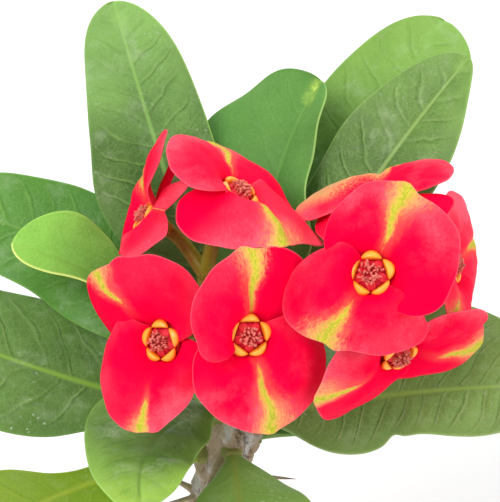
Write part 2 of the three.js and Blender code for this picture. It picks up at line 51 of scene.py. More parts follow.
POT = dict(height=104, rim=62, rim_height=23, rim_step=4, foot=42, wall=5, floor=6)
DRAINS = dict(count=4, radius=4, circle=20)
SOIL = dict(top=92, bottom=7, crumbs=620)
STEM_FOOT = (-9, 3)
SPINE = dict(pairs=11, length=15, radius=1.2, first=100, last=190, spread=24)
BRACT_INNER = 2.5
CUP_DEPTH = 8.2
GLAND = dict(count=5, circle=3.85, half_width=2.5, depth=1.6)
STALK = dict(root=2.76, trunk=2.4, branch=2.1, pedicel=1.75)

# The turn in degrees from one leaf scar or stamen to the next, and the slope of the flower head, which rises
# towards the back.
GOLDEN_ANGLE = 137.5
HEAD_SLOPE = 48

# How finely the thin sheets are divided, across and along.
LEAF_GRID = (60, 110)
BRACT_GRID = (72, 44)
LOBE_GRID = (10, 12)

# Where the first width of each half of a leaf is told and how far on the next ones are, as shares of its
# length, and the same in degrees for a bract's margin.
FIRST_WIDTH, WIDTH_STEP = 0.15, 0.17
FIRST_MARGIN, MARGIN_STEP = -120, 30

# The stem's centre line and its radius there.
STEM_LINE = [
    ((-9, 3, 47), 8.6), ((-9, 3, 70), 9.2), ((-9, 3, 92), 9.4), ((-8, 2, 125), 8.9), ((-5, 1, 160), 8.3),
    ((-1, 0, 190), 7.8), ((3, 0, 212), 7.4), ((6, 1, 230), 6.4), ((7, 2, 242), 4.2),
]


def plain_leaf(name, **own):
    """A leaf's values: its own, and a plain leaf's for the rest."""
    return dict(dict(name=name, width=30, roll=0, widest=0.6, fold=0.12, curl=0.16, ripple=0.02, spacing=8,
                     lean=0.6, relief=0.8, bow=0, blunt=2.3, left=(1,) * 6, right=(1,) * 6,
                     notch=(0, 0, 1)), **own)


def plain_bract(**own):
    """A bract's values: its own, and a plain bract's for the rest."""
    return dict(dict(reach=(112, 112), over=(1.9, -1.9), skew=0, dome=3.2, collar=(0, 0), veil=0), **own)


# Leaves, from the top of the stem down: the height at which the petiole leaves the stem, azimuth and pitch
# at base and tip, length, width and roll, the share of the length where the blade is broadest, and its
# fold, curl and ripple. tone names its colours. spacing and lean are those of its side veins, with
# lean_right where the right half differs, and relief says how far they quilt the blade. left and right say
# how much broader or narrower than a plain leaf each half is, from the petiole to the tip. bow bends the
# midrib sideways, blunt shapes the tip, and notch is a dent in the right margin: its place, depth and size.
LEAVES = [
    plain_leaf("leaf_01", height=234, azimuth=(83, 39), pitch=(48, 36), length=72, width=42, roll=-12,
               widest=0.66, fold=0.2, curl=0.14, ripple=0.03, tone="meadow", lean=0.7, relief=0.3, bow=0.15,
               blunt=2.8, left=(0.95, 1.1, 1.25, 1.4, 1.2, 1.3), right=(1.05, 0.9, 0.7, 0.5, 0.45, 0.6)),
    plain_leaf("leaf_02", height=231, azimuth=(158, 170), pitch=(40, 25), length=65, width=19, roll=-32,
               widest=0.76, fold=0.3, curl=0.1, tone="young", spacing=7, lean=0.7, relief=0.3, bow=0.08,
               blunt=1.9, left=(0.95, 0.65, 0.45, 0.4, 0.6, 0.8), right=(0.7, 0.6, 0.45, 1.05, 1.4, 1.35)),
    plain_leaf("leaf_03", height=227, azimuth=(119, 111), pitch=(43, 52), length=102, width=33, roll=-1,
               widest=0.62, curl=0.18, tone="pale_tipped", spacing=7, lean=0.55, relief=0.9, bow=0.024,
               blunt=2.4, left=(1.05, 1.15, 1.25, 1.05, 0.9, 1)),
    plain_leaf("leaf_04", height=223, azimuth=(49, 36), pitch=(44, 37), length=103, roll=14, fold=0.22,
               curl=0.12, tone="deep", lean=0.7, blunt=2, left=(1, 1, 1, 1.1, 1.1, 1.1),
               right=(1, 1.05, 1.05, 1.1, 1, 0.7)),
    plain_leaf("leaf_05", height=222, azimuth=(142, 170), pitch=(39, 4), length=89, width=34, roll=-30,
               fold=0.16, ripple=0.03, tone="full", blunt=2.8, left=(1, 1, 1, 0.9, 0.9, 0.95),
               right=(1, 0.95, 1, 1.05, 1, 1.15)),
    plain_leaf("leaf_06", height=219, azimuth=(61, 50), pitch=(35, 36), length=117, width=45, roll=2,
               widest=0.64, fold=0.1, curl=0.14, tone="lit", spacing=9, bow=-0.018, blunt=2.6,
               right=(1, 1, 1, 0.95, 0.95, 1)),
    plain_leaf("leaf_07", height=219, azimuth=(218, 287), pitch=(30, 8), length=58, width=32, roll=-3,
               widest=0.56, fold=0.14, tone="glossy", spacing=7, relief=0.7, bow=-0.021, blunt=1.9,
               left=(0.95, 0.8, 0.75, 0.8, 0.8, 0.8), right=(1.55, 1.45, 1.2, 0.95, 0.8, 0.75)),
    plain_leaf("leaf_08", height=215, azimuth=(184, 170), pitch=(22, 15), length=84, width=43, roll=-15,
               tone="mossy", spacing=9, relief=1.2, bow=-0.055, left=(0.7, 0.65, 0.85, 1, 1.05, 1.05)),
    plain_leaf("leaf_09", height=214, azimuth=(0, -5), pitch=(18, 6), length=78, width=35, roll=27,
               widest=0.58, fold=0.14, ripple=0.03, tone="olive", spacing=5.6, lean=0.8, lean_right=-0.3,
               relief=1.5, blunt=2.8, left=(0.9, 1.05, 1.3, 1.45, 1.4, 1.35),
               right=(1.35, 1, 0.7, 0.75, 0.85, 1), notch=(0.45, 0.1, 0.03)),
    plain_leaf("leaf_10", height=207, azimuth=(276, 276), pitch=(16, -26), length=60, width=40, roll=4,
               widest=0.58, fold=0.14, curl=0.14, ripple=0.03, tone="spring", relief=0.7,
               left=(1, 1, 1.05, 1.05, 1, 1), right=(0.7, 0.75, 0.8, 0.85, 0.9, 1)),
    plain_leaf("leaf_11", height=203, azimuth=(200, 196), pitch=(8, -23), length=82, width=32, roll=-22,
               fold=0.24, curl=0.12, ripple=0.03, tone="yellowing", bow=0.07,
               right=(0.65, 0.35, 0.4, 0.85, 1.05, 1.15)),
    plain_leaf("leaf_12", height=212, azimuth=(84, 88), pitch=(16, -14), length=76, tone="full", relief=1),
    plain_leaf("leaf_13", height=208, azimuth=(130, 136), pitch=(8, -18), length=78, tone="deep", relief=1),
    # leaf_14 takes the dark tone so that its colour also paints the shade that it lies in.
    plain_leaf("leaf_14", height=204, azimuth=(24, 44), pitch=(8, -20), length=76, tone="deep", relief=1,
               bow=0.03, left=(1.1, 1.5, 1.6, 1.4, 1.2, 1)),
]

# Blooms: the middle of the gland ring, the azimuth and elevation that it looks along, and its size. A
# bract's turn is counted clockwise from the top of the flower head, and lift raises its far end. margin
# says how far its edge stands from the middle of the bloom, every 30 degrees from its clockwise side to the
# other. Pairs of numbers are for its two sides, counterclockwise and clockwise: how far each lobe reaches
# round the ring in degrees, the slope at which each half folds up, how far each lobe lies over or under the
# other bract, how much painted pink sheen each half gets, which paints the light and shade on that half,
# above 1 with a tan margin too, and how high a collar it has round the ring. skew is the angle of its tip,
# and line that of its yellow-green streak where it differs. streak is where the streak starts, how wide it
# gets, and how far its salmon fringe spreads on each side of it. dome curves the bract down towards its
# margin. veil is how pale the bract is all over.
BLOOMS = [
    dict(name="bloom_1", centre=(5, 9.5, 291), facing=(14, 59), size=1, bracts=[
        plain_bract(turn=11, lift=11, reach=(118, 121), fold=(0.1, 0.15), skew=-4, line=-7,
                    flush=(0.7, 0.65), margin=(18, 18.5, 21, 20.5, 22.5, 23.5, 21, 20, 20),
                    streak=(8, 1.3, 2, 4.5), veil=0.14),
        plain_bract(turn=178, lift=26, reach=(111, 122), fold=(-0.14, -0.42), skew=-9, flush=(0.5, 0.5),
                    margin=(17.5, 17.5, 20, 22, 22, 25, 22.5, 18.5, 15.5), streak=(5, 2, 6, 4),
                    collar=(0.8, 3.2), veil=0.38)]),
    dict(name="bloom_2", centre=(-19.5, 13, 280), facing=(168, 32), size=0.92, bracts=[
        plain_bract(turn=-50, lift=27, fold=(0.2, 0.47), over=(-1.9, 1.9), skew=-4, flush=(0.1, 0.6),
                    margin=(14, 17, 24, 23, 24, 16.5, 15.5, 17.5, 13), streak=(9, 3, 7, 6), dome=3.6,
                    veil=0.06),
        plain_bract(turn=71, lift=-15, reach=(112, 116), fold=(0.08, -0.01), over=(-2.5, 1.6), skew=-30,
                    line=0, flush=(0.8, 0.7), margin=(12, 15, 19, 20, 9, 19, 8.5, 26, 19),
                    streak=(12, 0.02, 0.05, 0.05), dome=0, veil=0.15)]),
    dict(name="bloom_3", centre=(-14.5, -20, 267), facing=(234, 32), size=1, bracts=[
        plain_bract(turn=-28, lift=34, reach=(112, 121), fold=(-0.4, -0.26), over=(-1.9, 1.9), skew=-9,
                    line=12, flush=(0, 0.4), margin=(10, 13.5, 18.5, 22, 22.5, 25, 18.5, 13, 9.5),
                    streak=(12, 1.7, 4, 5)),
        plain_bract(turn=195, lift=32, reach=(119, 128), fold=(0.12, 0.05), over=(-1.9, 1.9), skew=18,
                    line=8, flush=(0.9, 0.45), margin=(11, 14.5, 17, 21, 23, 19.5, 15.5, 14, 11),
                    streak=(13, 1.7, 1.6, 4.5), collar=(0.6, 0.8))]),
    dict(name="bloom_4", centre=(7.5, -25, 274), facing=(286, 36), size=1, bracts=[
        plain_bract(turn=-3, lift=20, reach=(128, 114), fold=(0.29, 0), over=(1.9, -3), skew=4, line=-4,
                    flush=(0.5, 0), margin=(12, 15.5, 20.5, 23.5, 21.5, 19.5, 17, 14.5, 15),
                    streak=(4.5, 1.8, 5, 2.4), collar=(2.8, 0)),
        plain_bract(turn=160, lift=11, reach=(109, 116), fold=(-0.06, 0.24), skew=-4, flush=(0.65, 1),
                    margin=(12.5, 15.5, 19.5, 23, 25, 24, 20.5, 16, 12.5), streak=(7, 1.9, 6.5, 4))]),
    dict(name="bloom_5", centre=(37, -20.5, 290.5), facing=(258, 50), size=1.03, bracts=[
        plain_bract(turn=30, lift=16, reach=(112, 125), fold=(0.19, 0.19), over=(-1.4, -1.4), skew=8,
                    flush=(0.75, 0.75), margin=(14.5, 17.5, 20, 22.5, 22, 22, 17.5, 14, 13),
                    streak=(7, 2, 4, 7)),
        plain_bract(turn=215, lift=31, reach=(96, 115), fold=(-0.3, -0.1), over=(1.9, 1.9), skew=9, line=1,
                    flush=(0.7, 0.6), margin=(12, 13, 18.5, 23, 19.5, 18.5, 19, 20.5, 17),
                    streak=(8, 2.5, 4.5, 5), dome=8.5, collar=(1.6, 3.4))]),
    dict(name="bloom_6", centre=(40, 10, 286.5), facing=(120, 72), size=0.98, bracts=[
        plain_bract(turn=-10, lift=13, reach=(124, 115), fold=(0.02, 0.41), over=(1.9, 1.9), skew=-10,
                    flush=(2, 0.9), margin=(17.5, 20.5, 23, 23.5, 23, 21.5, 22, 23, 19.5),
                    streak=(13, 1.6, 7, 2), veil=0.07),
        plain_bract(turn=185, lift=0, reach=(118, 112), fold=(0.32, 0.05), over=(-1.4, -1.4),
                    flush=(0, 0.3), margin=(13, 14.5, 16.5, 18, 18.5, 20, 22.5, 22.5, 18),
                    streak=(10, 1.5, 3, 3))]),
    dict(name="bloom_7", centre=(60.5, 3.5, 271.5), facing=(347, 18), size=0.95, bracts=[
        plain_bract(turn=67, lift=17, reach=(113, 112), fold=(0.05, 0.11), skew=-2, flush=(1, 1),
                    margin=(12.5, 16.5, 21, 22.5, 24.5, 23.5, 20.5, 16, 12.5), streak=(9, 2.4, 6, 6),
                    veil=0.3),
        plain_bract(turn=224, lift=21, fold=(0.15, 0.15), flush=(0.5, 0.5),
                    margin=(13, 16, 20.5, 23, 21, 18.5, 16.5, 15, 13), streak=(7, 1.8, 5, 5), veil=0.1)]),
    dict(name="bloom_8", centre=(45.5, -19.5, 261.7), facing=(296, -6), size=0.95, bracts=[
        plain_bract(turn=63, lift=21, reach=(102, 116), fold=(0.28, 0.15), skew=-16, flush=(1, 0.3),
                    margin=(8, 11.5, 16, 24, 26, 24.5, 18, 11, 8), streak=(11, 2.4, 5, 5)),
        plain_bract(turn=232, lift=26, reach=(116, 110), fold=(-0.22, -0.16), skew=-12, flush=(0.3, 0.9),
                    margin=(7.5, 11.5, 18, 24, 26.5, 24.5, 18, 11, 7), streak=(13, 1.2, 2.6, 7))]),
]

STALKS = [
    dict(name="flower_stalk_left", height=234, azimuth=215, pitch=50, knee=(-3, -4, 254), branches=[
        dict(knee=(-4, 4, 268), blooms=(0, 1)), dict(knee=(-3, -9, 262), blooms=(2, 3))]),
    dict(name="flower_stalk_right", height=238, azimuth=340, pitch=50, knee=(24, -2, 256), branches=[
        dict(knee=(33, 0, 270), blooms=(4, 5)), dict(knee=(38, -4, 262), blooms=(6, 7))]),
]


# ------------------------------------------------------------------ small helpers

def towards(azimuth, elevation):
    flat = math.cos(elevation * DEG)
    return Vector((math.cos(azimuth * DEG) * flat, math.sin(azimuth * DEG) * flat,
                   math.sin(elevation * DEG)))


def between(a, b, share):
    return a + (b - a) * share


def ease(low, high, x):
    t = min(max((x - low) / (high - low), 0), 1)
    return t * t * (3 - 2 * t)


def smooth_between(values, place):
    """A smooth curve through evenly spaced values. place 0 is at the first of them."""
    last = len(values) - 1
    place = min(max(place, 0), last)
    first = min(int(place), last - 1)
    t = place - first
    a, b, c, d = (values[min(max(first + k, 0), last)] for k in (-1, 0, 1, 2))
    return b + 0.5 * t * ((c - a) + t * ((2 * a - 5 * b + 4 * c - d) + t * (3 * (b - c) + d - a)))


def seeded_draw(seed):
    """A repeatable random draw between 0 and 1."""
    state = [seed]

    def draw():
        state[0] = (state[0] * 1664525 + 1013904223) % 4294967296
        return state[0] / 4294967296
    return draw


def colour(code):
    """The linear colour of a six-digit screen colour."""
    channels = [int(code[i:i + 2], 16) / 255 for i in (0, 2, 4)]
    return (*[c / 12.92 if c <= 0.04045 else ((c + 0.055) / 1.055) ** 2.4 for c in channels], 1.0)


# ------------------------------------------------------------------ meshes

def grid(columns, rows, labels=()):
    """A flat grid of quads, its named layers, and each corner's place across and along it, from 0 to 1."""
    sheet = bmesh.new()
    layers = {label: sheet.verts.layers.float_vector.new(label) for label in labels}
    bmesh.ops.create_grid(sheet, x_segments=columns, y_segments=rows, size=0.5)
    return sheet, layers, [(v, v.co.x + 0.5, v.co.y + 0.5) for v in sheet.verts]


def wrapped(columns, rows, place):
    """A closed body: place(turn, along) bends a grid round, its seam is merged and its ends are closed."""
    body, _, corners = grid(columns, rows)
    for corner, turn, along in corners:
        corner.co = place(turn % 1.0, along)
    bmesh.ops.remove_doubles(body, verts=body.verts, dist=1e-4)
    bmesh.ops.holes_fill(body, edges=[e for e in body.edges if e.is_boundary], sides=0)
    bmesh.ops.recalc_face_normals(body, faces=body.faces)
    return body


def rings_along(path, count):
    """Centre and two cross directions at count + 1 places along a path, turned as little as possible."""
    centres = [path(i / count) for i in range(count + 1)]
    across = None
    rings = []
    for i, centre in enumerate(centres):
        along = (centres[min(i + 1, count)] - centres[max(i - 1, 0)]).normalized()
        if across is None:
            beside = Vector((0, 0, 1)) if abs(along.z) < 0.9 else Vector((1, 0, 0))
            across = beside.cross(along)
        across = (across - along * across.dot(along)).normalized()
        rings.append((centre, across.copy(), along.cross(across)))
    return rings


def tube(path, count, sides, radius):
    """A closed tube along path(share). radius(share, angle) is how far its skin stands off."""
    rings = rings_along(path, count)

    def place(turn, along):
        centre, right, up = rings[round(along * count)]
        angle = turn * FULL_TURN
        reach = radius(along, angle)
        return centre + right * (math.cos(angle) * reach) + up * (math.sin(angle) * reach)
    return wrapped(sides, count, place)


def bend(start, leave, end, arrive):
    """A curve that leaves start in one direction and arrives at end in another."""
    reach = (end - start).length / 3
    a, b = start + leave * reach, end - arrive * reach

    def path(t):
        s = 1 - t
        return start * (s ** 3) + a * (3 * s * s * t) + b * (3 * s * t * t) + end * (t ** 3)
    return path


def lathe(profile, segments):
    """A closed body turned from (radius, height) pairs."""
    body = bmesh.new()
    corners = [body.verts.new((r, 0, z)) for r, z in profile]
    edges = [body.edges.new(pair) for pair in zip(corners, corners[1:])]
    bmesh.ops.spin(body, geom=corners + edges, axis=(0, 0, 1), cent=(0, 0, 0), angle=FULL_TURN,
                   steps=segments, use_merge=True)
    bmesh.ops.remove_doubles(body, verts=body.verts, dist=1e-4)
    bmesh.ops.recalc_face_normals(body, faces=body.faces)
    return body


def thin_sheet(columns, rows, surface, stand, facts):
    """A closed thin sheet. surface(u, w) is its middle, stand(u, w) how far its upper and under faces stand
    off it, and facts(u, w) the named vectors that its material reads. Their last number is kept on the upper
    face and is -1 on the under face."""
    sheet, layers, corners = grid(columns, rows, ["spot", "out", *facts(0.5, 0.5)])
    spot, out = layers.pop("spot"), layers.pop("out")
    for corner, u, w in corners:
        corner.co = surface(u, w)
        corner[spot] = (u, w, 0)
        for label, values in facts(u, w).items():
            corner[layers[label]] = values
    bmesh.ops.remove_doubles(sheet, verts=sheet.verts, dist=1e-4)
    sheet.normal_update()
    for corner in sheet.verts:
        corner[out] = corner.normal
    under = sheet.verts[:]
    made = bmesh.ops.extrude_face_region(sheet, geom=sheet.faces[:], use_keep_orig=True)
    upper = [g for g in made["geom"] if isinstance(g, bmesh.types.BMVert)]
    for side, corners in ((1, upper), (-1, under)):
        for corner in corners:
            u, w, _ = corner[spot]
            off = stand(u, w)[0 if side > 0 else 1]
            corner.co = corner.co + corner[out] * (side * off)
            for layer in layers.values():
                corner[layer] = (*corner[layer][:2], corner[layer][2] if side > 0 else -1.0)
    bmesh.ops.recalc_face_normals(sheet, faces=sheet.faces)
    kept = sheet.verts.layers.float_vector
    for label in ("spot", "out"):
        kept.remove(kept[label])
    return sheet


def mark(body, label, fact):
    """Gives each corner a named vector, worked out from where it is, for the material to read."""
    layer = body.verts.layers.float_vector.new(label)
    for corner in body.verts:
        corner[layer] = fact(corner.co)


def turned(body, angle, axis):
    """Turns a body about an axis through the origin, by an angle in radians."""
    bmesh.ops.rotate(body, verts=body.verts, cent=(0, 0, 0), matrix=Matrix.Rotation(angle, 3, axis))
    return body


def new_object(name, body):
    """An object in the scene from a finished body."""
    mesh = bpy.data.meshes.new(name)
    body.to_mesh(mesh)
    body.free()
    made = bpy.data.objects.new(name, mesh)
    bpy.context.scene.collection.objects.link(made)
    return made


def add(whole, part, material=0):
    """Adds a finished part to a piece, in the piece's material of that number."""
    for face in part.faces:
        face.material_index = material
        face.smooth = True
    mesh = bpy.data.meshes.new("part")
    part.to_mesh(mesh)
    part.free()
    whole.from_mesh(mesh)
    bpy.data.meshes.remove(mesh)


def finish_piece(name, whole, materials, slot, *nodes):
    """Turns a mesh in millimetres into a piece that rides on the plant and stands for its CAD nodes."""
    bmesh.ops.scale(whole, vec=(MM, MM, MM), verts=whole.verts)
    piece = new_object(name, whole)
    for material in materials:
        piece.data.materials.append(material)
    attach(piece, "root")
    if nodes:
        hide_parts(*nodes)
    return piece


# ------------------------------------------------------------------ nodes

def put(tree, kind, values, **settings):
    """A new node with its settings, and its inputs given as plain values or linked from other nodes."""
    made = tree.nodes.new(kind)
    for label, value in settings.items():
        setattr(made, label, value)
    for label, value in values.items():
        if isinstance(value, bpy.types.NodeSocket):
            tree.links.new(value, made.inputs[label])
        else:
            made.inputs[label].default_value = value
    return made


def tree_of(*values):
    """The node tree that the first linked one of these values comes from."""
    return next(value.id_data for value in values if isinstance(value, bpy.types.NodeSocket))


def calc(operation, *values, clamp=False):
    return put(tree_of(*values), "ShaderNodeMath", dict(enumerate(values)), operation=operation,
               use_clamp=clamp).outputs[0]


def times(a, b, clamp=False):
    return calc("MULTIPLY", a, b, clamp=clamp)


def less(a, b, clamp=False):
    return calc("SUBTRACT", a, b, clamp=clamp)


def scaled(value, factor, more, clamp=False):
    return calc("MULTIPLY_ADD", value, factor, more, clamp=clamp)


def remap(value, low, high, to_low=0.0, to_high=1.0):
    """Smoothly maps low..high to to_low..to_high."""
    ends = {"From Min": low, "From Max": high, "To Min": to_low, "To Max": to_high}
    return put(tree_of(value, low, high), "ShaderNodeMapRange", {"Value": value, **ends},
               interpolation_type="SMOOTHSTEP").outputs[0]


def paint(share, under, over, blend_type="MIX"):
    return put(tree_of(share, under, over), "ShaderNodeMix", {0: share, 6: under, 7: over},
               data_type="RGBA", blend_type=blend_type).outputs[2]


def clouds(vector, scale, detail=3.0, roughness=0.55):
    return put(tree_of(vector), "ShaderNodeTexNoise", {"Vector": vector, "Scale": scale, "Detail": detail,
                                                       "Roughness": roughness}).outputs["Fac"]


def parts_of(vector):
    return put(tree_of(vector), "ShaderNodeSeparateXYZ", {0: vector}).outputs


def point(tree, x, y, z):
    return put(tree, "ShaderNodeCombineXYZ", {0: x, 1: y, 2: z}).outputs[0]


def new_group(name, inputs, outputs):
    """A shader node group: its tree, its inputs to read and its outputs to feed."""
    tree = bpy.data.node_groups.new(name, "ShaderNodeTree")
    kinds = {"number": "NodeSocketFloat", "vector": "NodeSocketVector", "colour": "NodeSocketColor"}
    for label, kind in inputs:
        tree.interface.new_socket(label, in_out="INPUT", socket_type=kinds[kind])
    for label, kind in outputs:
        tree.interface.new_socket(label, in_out="OUTPUT", socket_type=kinds[kind])
    return tree, tree.nodes.new("NodeGroupInput").outputs, tree.nodes.new("NodeGroupOutput").inputs


def place_group(tree, group, values):
    return put(tree, "ShaderNodeGroup", values, node_tree=group).outputs


def new_material(name, **shader_values):
    """A material, its tree and its shader, with plain values set on the shader's own inputs."""
    material = bpy.data.materials.new(name)
    material.use_nodes = True
    tree = material.node_tree
    shader = tree.nodes["Principled BSDF"]
    for label, value in shader_values.items():
        shader.inputs[label.replace("_", " ")].default_value = value
    return material, tree, shader


def feed(tree, shader, base, rough=None, height=None, depth=0.0005, strength=1.0):
    """Links a material's colour, roughness and relief to its shader. depth is the relief's, in metres."""
    tree.links.new(base, shader.inputs["Base Color"])
    if rough is not None:
        tree.links.new(rough, shader.inputs["Roughness"])
    if height is not None:
        bump = put(tree, "ShaderNodeBump", {"Height": height, "Distance": depth, "Strength": strength})
        tree.links.new(bump.outputs[0], shader.inputs["Normal"])


def reading(tree, label):
    return put(tree, "ShaderNodeAttribute", {}, attribute_name=label).outputs["Vector"]


def object_place(tree):
    return put(tree, "ShaderNodeTexCoord", {}).outputs["Object"]


# ------------------------------------------------------------------ shared effects

def make_grain():
    """Fine uneven grain: a mask for colour and a height for relief."""
    takes = [("Vector", "vector"), ("Scale", "number"), ("Contrast", "number")]
    tree, given, result = new_group("grain", takes, [("Mask", "number"), ("Height", "number")])
    coarse = clouds(given["Vector"], given["Scale"], 4.0, 0.6)
    fine = clouds(given["Vector"], times(given["Scale"], 5.0), 3.0, 0.6)
    both = calc("ADD", times(coarse, 0.65), times(fine, 0.35))
    sharp = scaled(less(both, 0.5), given["Contrast"], 0.5, clamp=True)
    tree.links.new(sharp, result["Mask"])
    tree.links.new(both, result["Height"])
    return tree


def make_specks():
    """Small pale mineral specks that gather in patches."""
    tree, given, result = new_group("specks", [("Vector", "vector"), ("Amount", "number")],
                                    [("Mask", "number")])
    patches = remap(clouds(given["Vector"], 55.0, 2.0), 0.45, 0.7)
    dots = remap(clouds(given["Vector"], 900.0, 2.0, 0.6), 0.63, 0.72)
    smears = remap(clouds(given["Vector"], 260.0, 4.0, 0.7), 0.6, 0.78)
    both = calc("MAXIMUM", dots, times(smears, 0.6))
    mask = times(times(both, patches), given["Amount"], clamp=True)
    tree.links.new(mask, result["Mask"])
    return tree


GRAIN = make_grain()
SPECKS = make_specks()
SKIN_RESULTS = [("Color", "colour"), ("Roughness", "number"), ("Height", "number")]
TONE_COLOURS = ("Deep", "Fresh", "Pale", "Rib", "Margin", "Tip")
TONE_NUMBERS = ("Veining", "Ribbing", "Edging", "Edge Side", "Specks", "Freshness", "Fresh Rim", "Wet",
                "Gloss")


def make_leaf_skin():
    """A leaf's colour, roughness and vein relief, with painted shade along its veins, a painted highlight
    beside them and a painted wavy reflection. Blade holds millimetres off the midrib, the share of the
    length, and the running number of the side veins. Rim holds millimetres to the margin, millimetres
    along, and 1 on the upper face."""
    takes = [(label, "vector") for label in ("Blade", "Rim", "Place")]
    takes += [(label, "colour") for label in TONE_COLOURS]
    takes += [(label, "number") for label in TONE_NUMBERS]
    tree, given, result = new_group("leaf_skin", takes, SKIN_RESULTS)
    off, share, count = parts_of(given["Blade"])
    rim, along, upper = parts_of(given["Rim"])
    upper = remap(upper, -0.2, 0.2)
    width = calc("ABSOLUTE", off)
    place = given["Place"]
    wander = less(clouds(place, 110.0, 3.0), 0.5)
    count = scaled(wander, 0.5, count)

    def lines(number, shift, thin):
        """Lines along the side veins, moved along the leaf by a share of their spacing."""
        near = calc("ABSOLUTE", less(calc("FRACT", calc("ADD", number, shift)), 0.5))
        return remap(near, 0.5 - thin, 0.5)
    inner = times(remap(rim, 0.8, 5.0), remap(width, 0.2, 1.6))
    inner = times(inner, given["Veining"])
    fading = remap(clouds(place, 90.0, 3.0, 0.6), 0.34, 0.6, 0.3, 1.0)
    inner = times(inner, fading)
    # The vein lines carry painted light: painted shade along each side vein, a painted highlight along its
    # lit side, and a little painted shade on the minor veins.
    groove_shade_and_relief = times(lines(count, 0.0, 0.12), inner)
    lit_sides = times(lines(count, -0.13, 0.1), inner)
    minor = times(lines(times(count, 3.0), wander, 0.16), inner)
    cells = put(tree, "ShaderNodeTexVoronoi", {"Vector": place, "Scale": 380.0},
                feature="DISTANCE_TO_EDGE").outputs["Distance"]
    net = times(remap(cells, 0.0, 0.12, 1.0, 0.0), inner)
    rib = remap(calc("DIVIDE", width, remap(share, 0.0, 0.95, 1.5, 0.6)), 0.1, 1.3, 1.0, 0.0)
    mottle = less(clouds(place, 60.0, 5.0, 0.62), 0.5)
    fresh = scaled(mottle, 1.1, times(remap(share, 0.5, 1.02), given["Freshness"]))
    fresh = scaled(remap(rim, 0.0, 7.0, 1.0, 0.0), given["Fresh Rim"], fresh)
    fresh = calc("ADD", fresh, 0.22, clamp=True)
    skin = paint(fresh, given["Deep"], given["Fresh"])
    grain = clouds(place, 1700.0, 2.0, 0.6)
    skin = paint(remap(grain, 0.4, 0.75, 0.0, 0.16), skin, given["Pale"])
    skin = paint(remap(grain, 0.25, 0.5, 0.16, 0.0), skin, given["Deep"])
    # Painted shade: the minor veins a little darker.
    skin = paint(times(minor, 0.12), skin, given["Deep"])
    skin = paint(times(net, 0.14), skin, given["Pale"])
    # Painted shade along the side veins, then a painted highlight on their lit side in the pale colour.
    painted_groove_shade = paint(1.0, skin, (0.62, 0.72, 0.5, 1.0), "MULTIPLY")
    skin = paint(times(groove_shade_and_relief, 0.45), skin, painted_groove_shade)
    skin = paint(times(lit_sides, 0.32), skin, given["Pale"])
    skin = paint(times(rib, given["Ribbing"]), skin, given["Rib"])
    edge = times(remap(rim, 0.15, 0.75, 1.0, 0.0), given["Edging"])
    edge = times(edge, remap(times(off, given["Edge Side"]), -1.0, 1.0, 0.15, 1.0))
    skin = paint(edge, skin, given["Margin"])
    blotch = scaled(less(clouds(place, 420.0, 2.0), 0.5), 2.4, 0.8)
    at_tip = remap(scaled(mottle, 0.2, share), 0.9, 0.96)
    at_tip = times(at_tip, remap(scaled(mottle, 0.2, share), 0.975, 1.0, 1.0, 0.0))
    at_tip = times(at_tip, remap(width, 0.2, 3.4, 1.0, 0.0))
    at_tip = times(at_tip, remap(clouds(place, 300.0, 3.0), 0.35, 0.6, 0.3, 0.9))
    skin = paint(times(at_tip, blotch, clamp=True), skin, given["Tip"])
    # Pale patches: partly the leaf's waxy bloom, partly painted sheen from the sky.
    wax = times(remap(clouds(place, 140.0, 4.0, 0.65), 0.5, 0.75), times(given["Specks"], 0.22))
    skin = paint(wax, skin, (0.5, 0.62, 0.42, 1.0))
    # Painted reflection: pale wavy gloss lines painted into the colour, away from the margin.
    ripples = calc("ABSOLUTE", less(clouds(place, 260.0, 4.0, 0.6), 0.5))
    wet = times(remap(ripples, 0.0, 0.1, 1.0, 0.0), remap(clouds(place, 70.0, 3.0), 0.48, 0.64))
    wet = times(wet, remap(rim, 2.0, 8.0))
    skin = paint(times(wet, given["Wet"]), skin, (0.46, 0.6, 0.4, 1.0))
    skin = paint(upper, paint(0.4, skin, (0.3, 0.44, 0.18, 1.0)), skin)
    specks = place_group(tree, SPECKS, {"Vector": place, "Amount": given["Specks"]})["Mask"]
    specks = times(specks, upper)
    skin = paint(times(specks, 0.55), skin, (0.66, 0.75, 0.62, 1.0))
    tree.links.new(skin, result["Color"])
    patchy = scaled(clouds(place, 120.0, 3.0), 0.3, given["Gloss"])
    tree.links.new(scaled(specks, 0.2, patchy), result["Roughness"])
    height = scaled(groove_shade_and_relief, -0.7, times(net, -0.2))
    height = scaled(minor, -0.2, height)
    tree.links.new(scaled(grain, 0.2, height), result["Height"])
    return tree


